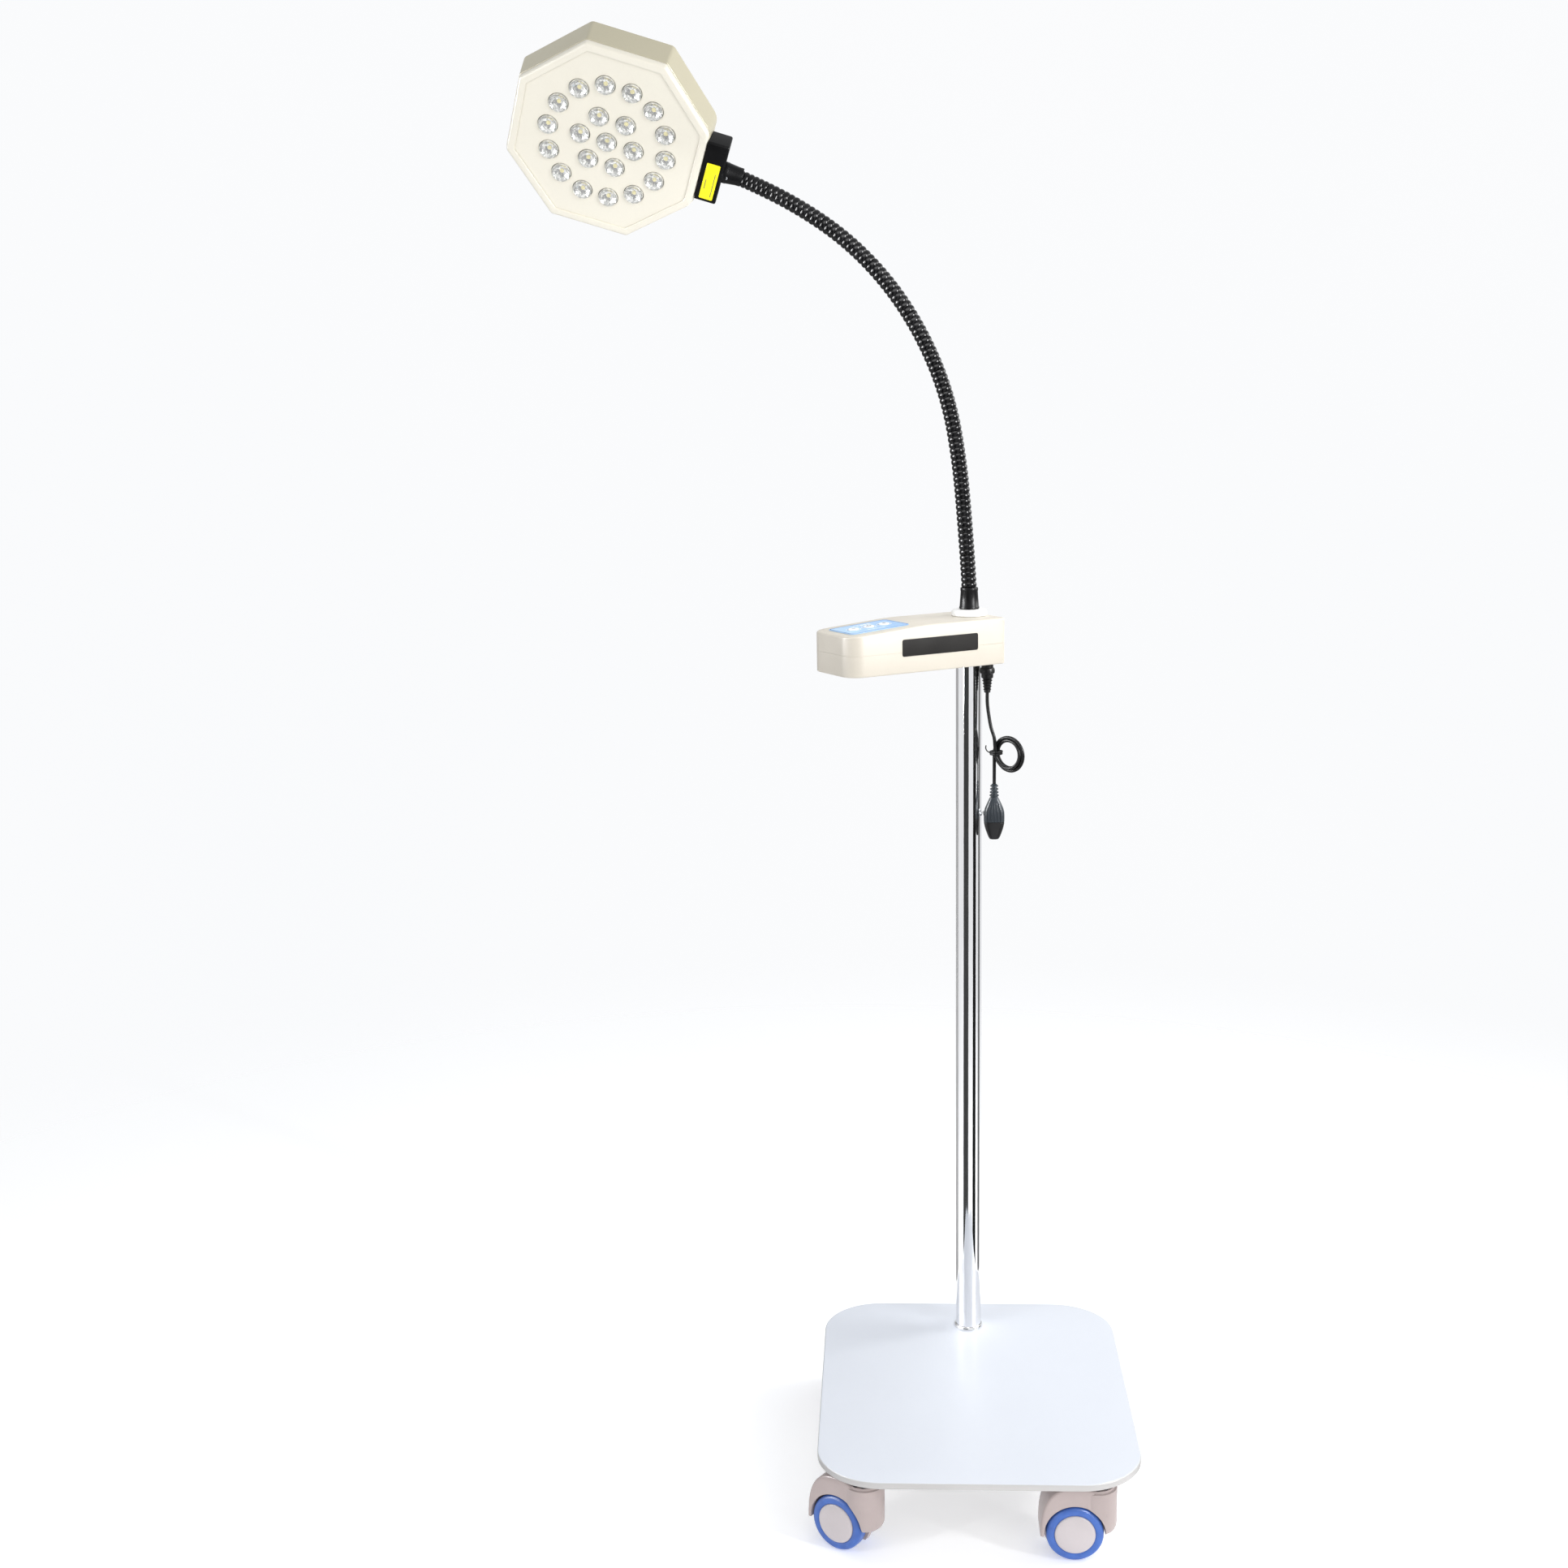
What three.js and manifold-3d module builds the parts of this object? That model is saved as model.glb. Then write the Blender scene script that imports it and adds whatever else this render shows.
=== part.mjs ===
// Mobile surgical light: LED head on a jointed gooseneck, control box on a pole, steel base on four twin-wheel
// casters. Millimetres, +Z up, +X to the right, +Y away from the front of the base.
import * as THREE from 'three';
import { mergeVertices } from 'three/addons/utils/BufferGeometryUtils.js';
import Module from 'manifold-3d';

const wasm = await Module();
wasm.setup();

// ---------------------------------------------------------------------------------------------- dimensions
const GAP = 0.3; // clearance between separate pieces

// base plate and casters
const FLOOR_TO_PLATE = 90;
const PLATE_X = 368;
const PLATE_Y = 450;
const PLATE_T = 8;
const PLATE_R = 74;
const PLATE_CENTRE_Y = -162.5; // the pole stands near the rear edge
const PLATE_TOP = FLOOR_TO_PLATE + PLATE_T;
const CASTER_INSET_X = 54;
const CASTER_INSET_Y = 30;
const CASTER_TRAIL = 25;
const CASTER_YAW = { front_right: 0, front_left: -33, rear_right: 24, rear_left: 166 }; // degrees
const WHEEL_R = 32.5;
const WHEEL_SIDES = 24;
const WHEEL_IN = 4.3; // inner face from the caster's mid plane
const WHEEL_OUT = 21.5;
const AXLE_R = 4;
const RUNNING = 0.06; // radial clearance of the wheels on the axle
const STEM_PLAY = 0.2; // radial clearance of the hood on the stem
const AXLE_Z = WHEEL_R * Math.cos(Math.PI / WHEEL_SIDES); // a flat of the tread rests on the floor
const COLUMN_R = 23;
const COLUMN_TOP = 88.5;
const STEM_R = 5;

// pole
const POLE_R = 16;
const POLE_WALL = 2;
const POLE_TOP = 996;

// control box
const BOX_YAW = 32.5;
const BOX_REAR = 22.5;
const BOX_NOSE = 195;
const BOX_W = 90;
const BOX_NOSE_R = 20;
const BOX_REAR_R = 6;
const BOX_BOTTOM = 962;
const BOX_SPLIT = 987;
const BOX_TOP = 1017;
const BOX_NOSE_TOP = 1009;
const SLOPE_START = 90;
const BOX_WALL = 2.5;
const KEY_COUNT = 3;
const KEY_R = 6.5;
const KEY_PITCH = 21;
const KEYPAD_X = 80;
const KEYPAD_Y = 56;
const CAP_R = 21.5;

// gooseneck: the links' angles from upright, in degrees, as the neck is bent here
const LINK_ANGLES = [4, 5, 10, 21.5, 32, 43.5, 55.5, 64];
const LINK_L = 73.6;
const LINK_R = 9;
const CUP_R = LINK_R + 0.5;
const CUP_DEPTH = 4; // the cup's rim stops this far short of the ball's centre
const NECK_X = 0;
const NECK_Z = 1053;

// lamp head
const HEAD_ELEVATION = 17.06; // the collar's axis rises this much towards the head
const HEAD_AZIMUTH = 5.5;
const HEAD_TILT = 35.3; // the lit face looks this far below level
const HEAD_REACH = 154.8; // neck end to the middle of the face
const HEAD_AXIS_DEPTH = 14; // the collar's axis behind the front plane
const FACE_R = 120.1;
const BACK_R = 124.6; // the widest octagon of the housing
const BACK_Z = -47;
const COVER_R = 104;
const HEAD_DEPTH = 60;
const BEZEL_W = 9.8;
const LENS_R = 11.2;
const OUTER_RING = { count: 14, radius: 69.8, phase: 128.3 };
const INNER_RING = { count: 6, radius: 32, phase: 118 };

// mains lead: gland, coil and plug
const GLAND = new THREE.Vector3(21, -18, 926);
const CORD_R = 2.1;
const COIL_YAW = 40;
const COIL_CENTRE = new THREE.Vector3(47, -28, 852);
const COIL_INNER = 16.8; // radius of the inner turns
const COIL_OUTER = 20.5; // radius of the outer turns
const COIL_PITCH = 4.5;
const COIL_BACK = -7.2; // the coil's two faces, along its own axis
const COIL_FRONT = 5.2;
const PLUG_TOP = 813.5;
const PLUG_YAW = -3;

const rad = THREE.MathUtils.degToRad;

// ------------------------------------------------------------------------------------------------- colours
const finish = (color, roughness, metalness = 0) => new THREE.MeshStandardMaterial({
  color, roughness, metalness, flatShading: true,
});
const M = {
  plate: finish(0xe2e7f0, 0.45),
  steel: finish(0xc9c9c9, 0.15, 1),
  zinc: finish(0xa9adb2, 0.35, 1),
  hood: finish(0xb9b0b4, 0.5),
  tyre: finish(0x3f6fc4, 0.6),
  ivory: finish(0xece6d2, 0.45),
  white: finish(0xf3f3ef, 0.4),
  keypad: finish(0x3b6fb5, 0.5),
  key: finish(0xeef2f6, 0.45),
  circuit: finish(0x1f6b3a, 0.55),
  grey: finish(0x8b8f94, 0.5),
  black: finish(0x101012, 0.3),
  rubber: finish(0x17181a, 0.65),
  label: finish(0xf0dc10, 0.5),
  lens: finish(0xdfe6ea, 0.08),
  aluminium: finish(0xb4b7ba, 0.35, 1),
};

// -------------------------------------------------------------------------------------------------- helpers
const root = new THREE.Group();
const frame = new THREE.Group();
root.add(frame);

// One closed, outward-facing shell: welded, without zero-area triangles.
function weld(geometry) {
  const bare = geometry.index ? geometry.toNonIndexed() : geometry.clone();
  for (const name of Object.keys(bare.attributes)) {
    if (name !== 'position') bare.deleteAttribute(name);
  }
  const merged = mergeVertices(bare, 1e-4);
  const index = merged.index.array;
  const p = merged.attributes.position;
  const kept = [];
  let volume = 0;
  const a = new THREE.Vector3();
  const b = new THREE.Vector3();
  const c = new THREE.Vector3();
  for (let i = 0; i < index.length; i += 3) {
    const [u, v, w] = [index[i], index[i + 1], index[i + 2]];
    if (u === v || v === w || w === u) continue;
    a.fromBufferAttribute(p, u);
    b.fromBufferAttribute(p, v);
    c.fromBufferAttribute(p, w);
    volume += a.dot(b.cross(c));
    kept.push(u, v, w);
  }
  if (volume < 0) {
    for (let i = 0; i < kept.length; i += 3) [kept[i], kept[i + 1]] = [kept[i + 1], kept[i]];
  }
  merged.setIndex(kept);
  merged.computeVertexNormals();
  return merged;
}

function toSolid(geometry) {
  const g = weld(geometry);
  const mesh = new wasm.Mesh({
    numProp: 3,
    vertProperties: new Float32Array(g.attributes.position.array),
    triVerts: new Uint32Array(g.index.array),
  });
  return new wasm.Manifold(mesh);
}

function fromSolid(solid) {
  const mesh = solid.getMesh();
  const g = new THREE.BufferGeometry();
  g.setAttribute('position', new THREE.BufferAttribute(new Float32Array(mesh.vertProperties), 3));
  g.setIndex(Array.from(mesh.triVerts));
  return g;
}

function join(first, ...rest) {
  let solid = toSolid(first);
  for (const g of rest) solid = solid.add(toSolid(g));
  return fromSolid(solid);
}

function cut(body, ...tools) {
  let solid = toSolid(body);
  for (const g of tools) solid = solid.subtract(toSolid(g));
  return fromSolid(solid);
}

function common(first, second) {
  return fromSolid(toSolid(first).intersect(toSolid(second)));
}

function add(name, geometry, material, parent = frame) {
  const mesh = new THREE.Mesh(weld(geometry), material);
  mesh.name = name;
  parent.add(mesh);
  return mesh;
}

// A turned body on Z from [radius, height] pairs that start and end on the axis, or close on themselves.
function turned(pairs, sides = 32, turn = 0) {
  const points = pairs.map(([r, z]) => new THREE.Vector2(r, z));
  const g = new THREE.LatheGeometry(points, sides, turn);
  return g.rotateX(Math.PI / 2);
}

const ring = (rIn, rOut, z0, z1, sides = 32) => turned(
  [[rIn, z0], [rOut, z0], [rOut, z1], [rIn, z1], [rIn, z0]], sides);

const disc = (r, z0, z1, sides = 32) => turned([[0, z0], [r, z0], [r, z1], [0, z1]], sides);

const box = (x, y, z0, z1) => new THREE.BoxGeometry(x, y, z1 - z0).translate(0, 0, (z0 + z1) / 2);

function prism(shape, z0, z1, curveSegments = 8) {
  const g = new THREE.ExtrudeGeometry(shape, { depth: z1 - z0, bevelEnabled: false, curveSegments });
  return g.translate(0, 0, z0);
}

// An outline in X and Z, extruded along Y and centred on it.
function slab(shape, width, curveSegments = 8) {
  const g = new THREE.ExtrudeGeometry(shape, { depth: width, bevelEnabled: false, curveSegments });
  return g.translate(0, 0, -width / 2).rotateX(Math.PI / 2);
}

function roundedRect(x0, y0, x1, y1, r) {
  const s = new THREE.Shape();
  s.moveTo(x0 + r, y0);
  s.lineTo(x1 - r, y0);
  s.absarc(x1 - r, y0 + r, r, -Math.PI / 2, 0, false);
  s.lineTo(x1, y1 - r);
  s.absarc(x1 - r, y1 - r, r, 0, Math.PI / 2, false);
  s.lineTo(x0 + r, y1);
  s.absarc(x0 + r, y1 - r, r, Math.PI / 2, Math.PI, false);
  s.lineTo(x0, y0 + r);
  s.absarc(x0 + r, y0 + r, r, Math.PI, Math.PI * 1.5, false);
  return s;
}

function polygon(points) {
  const s = new THREE.Shape();
  s.moveTo(points[0][0], points[0][1]);
  for (const [x, y] of points.slice(1)) s.lineTo(x, y);
  s.closePath();
  return s;
}

// ---------------------------------------------------------------------------------------- base plate, pole
const casterSpots = {
  front_right: [PLATE_X / 2 - CASTER_INSET_X, PLATE_CENTRE_Y - PLATE_Y / 2 + CASTER_INSET_Y],
  front_left: [-PLATE_X / 2 + CASTER_INSET_X, PLATE_CENTRE_Y - PLATE_Y / 2 + CASTER_INSET_Y],
  rear_right: [PLATE_X / 2 - CASTER_INSET_X, PLATE_CENTRE_Y + PLATE_Y / 2 - CASTER_INSET_Y],
  rear_left: [-PLATE_X / 2 + CASTER_INSET_X, PLATE_CENTRE_Y + PLATE_Y / 2 - CASTER_INSET_Y],
};

function makeBase() {
  const outline = roundedRect(-PLATE_X / 2, -PLATE_Y / 2, PLATE_X / 2, PLATE_Y / 2, PLATE_R);
  const plate = prism(outline, FLOOR_TO_PLATE, PLATE_TOP, 8).translate(0, PLATE_CENTRE_Y, 0);
  const sockets = Object.values(casterSpots).map(([x, y]) => (
    disc(STEM_R + GAP, FLOOR_TO_PLATE - 1, FLOOR_TO_PLATE + 6, 12).translate(x, y, 0)));
  const boltHole = disc(STEM_R + GAP, FLOOR_TO_PLATE - 1, PLATE_TOP + 1, 16);
  const boltRecess = disc(10, FLOOR_TO_PLATE - 1, FLOOR_TO_PLATE + 4, 20);
  add('base_plate', cut(plate, ...sockets, boltHole, boltRecess), M.plate);
}

function makePole() {
  const inner = POLE_R - POLE_WALL;
  add('pole_tube', ring(inner, POLE_R, PLATE_TOP + GAP, POLE_TOP, 32), M.steel);
  add('pole_foot_ring', turned([
    [POLE_R + GAP, PLATE_TOP + GAP], [18.2, PLATE_TOP + GAP], [18.2, PLATE_TOP + 3.4],
    [17.2, PLATE_TOP + 4.4], [POLE_R + GAP, PLATE_TOP + 4.4], [POLE_R + GAP, PLATE_TOP + GAP],
  ], 32), M.steel);
  const bottom = PLATE_TOP + GAP;
  add('pole_foot_insert', turned([
    [0, bottom + 38], [inner - GAP, bottom + 38], [inner - GAP, bottom],
    [STEM_R + GAP, bottom], [STEM_R + GAP, bottom + 28], [0, bottom + 28],
  ], 20), M.zinc);
  add('pole_washer', ring(STEM_R + GAP, 9, FLOOR_TO_PLATE + 2, FLOOR_TO_PLATE + 3.7, 20), M.zinc);
  add('pole_bolt', turned([
    [0, FLOOR_TO_PLATE - 3.6], [8, FLOOR_TO_PLATE - 3.6], [8, FLOOR_TO_PLATE + 1.7],
    [STEM_R, FLOOR_TO_PLATE + 1.7], [STEM_R, bottom + 26], [0, bottom + 26],
  ], 16), M.zinc);
}

// ------------------------------------------------------------------------------------------------- casters
// The caster's own frame: swivel axis on Z, wheels trailing towards -X, axle along Y.
function hoodGeometry() {
  const reach = 38.5;
  const left = -CASTER_TRAIL - reach;
  const side = new THREE.Shape();
  side.moveTo(left, 30);
  side.lineTo(left, 48);
  side.bezierCurveTo(left, 72, left + 12, COLUMN_TOP, left + 38.5, COLUMN_TOP);
  side.lineTo(2, COLUMN_TOP);
  side.lineTo(2, 30);
  side.closePath();
  const arch = slab(side, 43, 6);
  const column = turned([
    [0, 29], [16, 29], [21, 31.5], [COLUMN_R, 36], [COLUMN_R, COLUMN_TOP], [0, COLUMN_TOP],
  ], 28);
  const boss = disc(9, -3.2, 3.2, 16).rotateX(Math.PI / 2).translate(-CASTER_TRAIL, 0, AXLE_Z);
  const wells = [1, -1].map((s) => (
    disc(WHEEL_R + 1.7, 0, 30, 28).rotateX(s * Math.PI / -2)
      .translate(-CASTER_TRAIL, s * 3.6, AXLE_Z)));
  const axle = disc(AXLE_R, -17.5, 17.5, WHEEL_SIDES).rotateX(Math.PI / 2).translate(-CASTER_TRAIL, 0, AXLE_Z);
  const recess = disc(14, COLUMN_TOP - 4.5, COLUMN_TOP + 1, 20);
  const bore = disc(STEM_R + STEM_PLAY, 61.5, COLUMN_TOP - 3.5, 16);
  const shell = cut(join(arch, column, boss), ...wells, recess, bore);
  return join(shell, axle);
}

function wheelGeometry() {
  const bore = AXLE_R + RUNNING;
  return turned([
    [0, 18.2], [bore, 18.2], [bore, WHEEL_IN], [WHEEL_R - 2, WHEEL_IN], [WHEEL_R, 6.4], [WHEEL_R, 19.2],
    [WHEEL_R - 2, WHEEL_OUT], [23.4, WHEEL_OUT], [14, 23.8], [0, 24.2],
  ], WHEEL_SIDES, Math.PI / WHEEL_SIDES);
}

function makeCasters() {
  const hood = hoodGeometry();
  for (const [corner, [x, y]] of Object.entries(casterSpots)) {
    const caster = new THREE.Group();
    caster.position.set(x, y, 0);
    caster.rotation.z = rad(CASTER_YAW[corner]);
    frame.add(caster);
    add(`caster_stem_${corner}`, turned([
      [0, 62], [STEM_R, 62], [STEM_R, COLUMN_TOP - 4.1], [12.5, COLUMN_TOP - 4.1],
      [12.5, FLOOR_TO_PLATE - GAP], [STEM_R, FLOOR_TO_PLATE - GAP], [STEM_R, FLOOR_TO_PLATE + 5.2],
      [0, FLOOR_TO_PLATE + 5.2],
    ], 16), M.zinc, caster);
    add(`caster_hood_${corner}`, hood, M.hood, caster);
    for (const [side, turn] of [['outer', Math.PI / 2], ['inner', -Math.PI / 2]]) {
      const g = wheelGeometry().rotateX(turn).translate(-CASTER_TRAIL, 0, AXLE_Z);
      add(`wheel_${corner}_${side}`, g, M.tyre, caster);
    }
  }
}

// --------------------------------------------------------------------------------------------- control box
// The box's own frame: pole axis on Z, nose towards -X.
function boxOutline(offset) {
  const half = BOX_W / 2 - offset;
  const nose = -BOX_NOSE + offset;
  const rear = BOX_REAR - offset;
  const rn = BOX_NOSE_R - offset;
  const rr = Math.max(BOX_REAR_R - offset, 1);
  const s = new THREE.Shape();
  s.moveTo(rear - rr, -half);
  s.absarc(rear - rr, -half + rr, rr, -Math.PI / 2, 0, false);
  s.absarc(rear - rr, half - rr, rr, 0, Math.PI / 2, false);
  s.absarc(nose + rn, half - rn, rn, Math.PI / 2, Math.PI, false);
  s.absarc(nose + rn, -half + rn, rn, Math.PI, Math.PI * 1.5, false);
  s.closePath();
  return s;
}

function boxProfile(offset, z0) {
  const slope = (BOX_TOP - BOX_NOSE_TOP) / (BOX_NOSE - SLOPE_START);
  const end = BOX_NOSE + 5;
  const noseTop = BOX_TOP - offset - slope * (end - SLOPE_START);
  return polygon([
    [BOX_REAR + 5, z0], [BOX_REAR + 5, BOX_TOP - offset], [-SLOPE_START, BOX_TOP - offset],
    [-end, noseTop], [-end, z0],
  ]);
}

// The sloping top's own frame: origin at the middle of the keypad, +Z out of the slope.
function slopeFrame() {
  const slope = Math.atan2(BOX_TOP - BOX_NOSE_TOP, BOX_NOSE - SLOPE_START);
  const middle = SLOPE_START + 12 + KEYPAD_X / 2;
  const z = BOX_TOP - Math.tan(slope) * (middle - SLOPE_START);
  const m = new THREE.Matrix4().makeRotationY(-slope);
  m.setPosition(-middle, 0, z);
  return m;
}

const keyX = (i) => (i - (KEY_COUNT - 1) / 2) * KEY_PITCH;

function makeShells(parent, slope) {
  const lower = cut(
    prism(boxOutline(0), BOX_BOTTOM, BOX_SPLIT, 8),
    prism(boxOutline(BOX_WALL), BOX_BOTTOM + BOX_WALL, BOX_SPLIT + 1, 8),
    disc(POLE_R + GAP, BOX_BOTTOM - 1, BOX_BOTTOM + 4, 32),
    disc(5.3, BOX_BOTTOM - 1, BOX_BOTTOM + 4, 16).translate(...glandInBox(), 0),
  );
  add('box_lower_shell', lower, M.ivory, parent);
  const outer = common(prism(boxOutline(0), BOX_SPLIT, BOX_TOP + 5, 8), slab(boxProfile(0, BOX_SPLIT + 0.4), 120));
  const inner = common(
    prism(boxOutline(BOX_WALL), BOX_SPLIT - 5, BOX_TOP, 8), slab(boxProfile(BOX_WALL, BOX_SPLIT - 4), 120));
  const keyHoles = [];
  for (let i = 0; i < KEY_COUNT; i += 1) {
    keyHoles.push(disc(4.4, -12, 5, 12).translate(keyX(i), 0, 0).applyMatrix4(slope));
  }
  const neckHole = disc(6.4, BOX_TOP - 8, BOX_TOP + 2, 20);
  add('box_upper_shell', cut(outer, inner, neckHole, ...keyHoles), M.ivory, parent);
}

function glandInBox() {
  const a = rad(-BOX_YAW);
  return [
    GLAND.x * Math.cos(a) - GLAND.y * Math.sin(a),
    GLAND.x * Math.sin(a) + GLAND.y * Math.cos(a),
  ];
}

function makeKeypad(parent, slope) {
  const sheet = roundedRect(-KEYPAD_X / 2, -KEYPAD_Y / 2, KEYPAD_X / 2, KEYPAD_Y / 2, 6);
  for (let i = 0; i < KEY_COUNT; i += 1) {
    const hole = new THREE.Path();
    hole.absarc(keyX(i), 0, KEY_R + 0.6, 0, Math.PI * 2, false);
    sheet.holes.push(hole);
  }
  add('keypad_overlay', prism(sheet, 0.2, 1, 6).applyMatrix4(slope), M.keypad, parent);
  const names = ['key_dimmer', 'key_power', 'key_brighter'];
  names.forEach((name, i) => {
    const key = turned([
      [0, -6], [4, -6], [4, 0.9], [KEY_R, 0.9], [KEY_R, 1.9], [KEY_R - 1, 2.3], [0, 2.3],
    ], 16).translate(keyX(i), 0, 0);
    add(name, key.applyMatrix4(slope), M.key, parent);
  });
  add('control_board', box(78, 52, -10.4, -8.8).applyMatrix4(slope), M.circuit, parent);
}

function makeBoxInside(parent) {
  const floor = BOX_BOTTOM + BOX_WALL + GAP;
  add('pole_clamp', turned([
    [POLE_R + GAP, floor], [19.6, floor], [18.8, floor + 24], [POLE_R + GAP, floor + 24], [POLE_R + GAP, floor],
  ], 32), M.aluminium, parent);
  add('power_supply', box(84, 58, floor, floor + 17).translate(-112, 0, 0), M.grey, parent);
  add('neck_socket', turned([
    [0, POLE_TOP - 26], [POLE_R - POLE_WALL - GAP, POLE_TOP - 26], [POLE_R - POLE_WALL - GAP, POLE_TOP + GAP],
    [19.6, POLE_TOP + GAP], [19.6, POLE_TOP + 4], [6, POLE_TOP + 4], [6, BOX_TOP + 20], [0, BOX_TOP + 20],
  ], 20), M.steel, parent);
  const nutHole = disc(6 + GAP, POLE_TOP, POLE_TOP + 15, 32);
  add('neck_nut', cut(disc(11, POLE_TOP + 4 + GAP, POLE_TOP + 11, 6), nutHole), M.zinc, parent);
}

function makeControlBox() {
  const parent = new THREE.Group();
  parent.rotation.z = rad(BOX_YAW);
  frame.add(parent);
  const slope = slopeFrame();
  makeShells(parent, slope);
  makeKeypad(parent, slope);
  makeBoxInside(parent);
  add('neck_cap', turned([
    [6 + GAP, BOX_TOP + GAP], [CAP_R, BOX_TOP + GAP], [CAP_R, BOX_TOP + 5.5], [CAP_R - 2.5, BOX_TOP + 8],
    [6 + GAP, BOX_TOP + 8], [6 + GAP, BOX_TOP + GAP],
  ], 28), M.white, parent);
}

// ------------------------------------------------------------------------------------ mains lead and plug
function coilPoint(angle, radius, across) {
  const out = new THREE.Vector3(Math.cos(rad(COIL_YAW)), -Math.sin(rad(COIL_YAW)), 0);
  const back = new THREE.Vector3(Math.sin(rad(COIL_YAW)), Math.cos(rad(COIL_YAW)), 0);
  return COIL_CENTRE.clone()
    .addScaledVector(out, radius * Math.cos(angle))
    .addScaledVector(back, across)
    .add(new THREE.Vector3(0, 0, radius * Math.sin(angle)));
}

function tube(points, radius, steps) {
  const shape = new THREE.Shape();
  shape.absarc(0, 0, radius, 0, Math.PI * 2, false);
  const extrudePath = new THREE.CatmullRomCurve3(points);
  return new THREE.ExtrudeGeometry(shape, { steps, extrudePath, curveSegments: 4, bevelEnabled: false });
}

function makeLead() {
  const [x, y, mouth] = GLAND.toArray();
  add('cord_gland', turned([
    [CORD_R + GAP, mouth], [3.8, mouth], [5.4, mouth + 16], [7.2, mouth + 18], [7.2, BOX_BOTTOM - GAP],
    [5, BOX_BOTTOM - GAP], [5, BOX_BOTTOM + 10], [CORD_R + GAP, BOX_BOTTOM + 10], [CORD_R + GAP, mouth],
  ], 16).translate(x, y, 0), M.rubber);

  const entry = coilPoint(Math.PI, COIL_INNER, -COIL_PITCH - 3.2);
  const lead = [
    new THREE.Vector3(x, y, mouth - GAP),
    new THREE.Vector3(x + 0.4, y, mouth - 16),
    new THREE.Vector3(x + 4, y - 2.5, mouth - 40),
    new THREE.Vector3(entry.x, entry.y, COIL_CENTRE.z + 19),
  ];
  add('cord_lead', tube(lead, CORD_R, 8), M.rubber);

  const coil = turned([
    [COIL_INNER - 2.6, COIL_BACK], [COIL_OUTER + 2.6, COIL_BACK], [COIL_OUTER + 2.6, COIL_FRONT],
    [COIL_INNER - 2.6, COIL_FRONT], [COIL_INNER - 2.6, COIL_BACK],
  ], 32).rotateX(-Math.PI / 2).rotateZ(rad(-COIL_YAW)).translate(...COIL_CENTRE.toArray());
  add('cord_coil', coil, M.rubber);

  const inX = -COIL_OUTER - 2.6 - GAP;
  const outX = -COIL_INNER + 2.6 + GAP;
  const band = roundedRect(inX - 1.3, COIL_BACK - 1.6, outX + 1.3, COIL_FRONT + 1.6, 2);
  const hole = new THREE.Path();
  hole.moveTo(inX, COIL_BACK - GAP);
  hole.lineTo(inX, COIL_FRONT + GAP);
  hole.lineTo(outX, COIL_FRONT + GAP);
  hole.lineTo(outX, COIL_BACK - GAP);
  hole.closePath();
  band.holes.push(hole);
  add('cord_tie', prism(band, -1.6, 1.6, 3).rotateZ(rad(-COIL_YAW)).translate(...COIL_CENTRE.toArray()), M.rubber);

  const tailTop = coilPoint(Math.PI, COIL_OUTER, -COIL_PITCH / 2);
  const tail = [
    new THREE.Vector3(tailTop.x, tailTop.y, COIL_CENTRE.z - 15.4),
    new THREE.Vector3(tailTop.x, tailTop.y, PLUG_TOP + 10),
    new THREE.Vector3(tailTop.x, tailTop.y, PLUG_TOP + GAP),
  ];
  add('cord_tail', tube(tail, CORD_R, 4), M.rubber);

  // An angled mains plug: boot and grip in line with the cord, two pins towards the back.
  const boot = turned([
    [0, 0], [4.2, 0], [5.4, -16], [6.3, -19], [0, -21],
  ], 20);
  const body = slab(polygon([
    [-6.3, -17], [6.3, -17], [12.5, -33], [12.5, -47], [10, -57], [5.5, -69], [-5.5, -69], [-10, -57],
    [-12.5, -47], [-12.5, -33],
  ]), 15);
  const pins = [-9.5, 9.5].map((px) => (
    disc(2.4, 0, 19, 12).rotateX(-Math.PI / 2).translate(px, 7, -41)));
  const plug = join(boot, body, ...pins).rotateZ(rad(-PLUG_YAW)).translate(tailTop.x, tailTop.y, PLUG_TOP);
  add('mains_plug', plug, M.rubber);
}

// ---------------------------------------------------------------------------------------------- gooseneck
function neckPoints() {
  const points = [new THREE.Vector3(NECK_X, 0, NECK_Z)];
  for (const angle of LINK_ANGLES) {
    const last = points[points.length - 1];
    points.push(new THREE.Vector3(
      last.x - LINK_L * Math.sin(rad(angle)), 0, last.z + LINK_L * Math.cos(rad(angle))));
  }
  return points;
}

// The concave cup at a piece's end, from its outer radius in to the axis, for a ball centred at height z.
function cupProfile(outerR, z) {
  const start = Math.asin(CUP_DEPTH / CUP_R);
  const pairs = [[outerR, z - CUP_DEPTH]];
  const steps = 4;
  for (let i = 0; i < steps; i += 1) {
    const t = start + ((Math.PI / 2 - start) * i) / steps;
    pairs.push([CUP_R * Math.cos(t), z - CUP_R * Math.sin(t)]);
  }
  pairs.push([0, z - CUP_R]);
  return pairs;
}

function ballProfile(z = 0) {
  const pairs = [[0, z - LINK_R]];
  const steps = 4;
  for (let i = 1; i < steps; i += 1) {
    const t = (Math.PI / 2) * (i / steps);
    pairs.push([LINK_R * Math.sin(t), z - LINK_R * Math.cos(t)]);
  }
  pairs.push([LINK_R, z]);
  return pairs;
}

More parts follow.
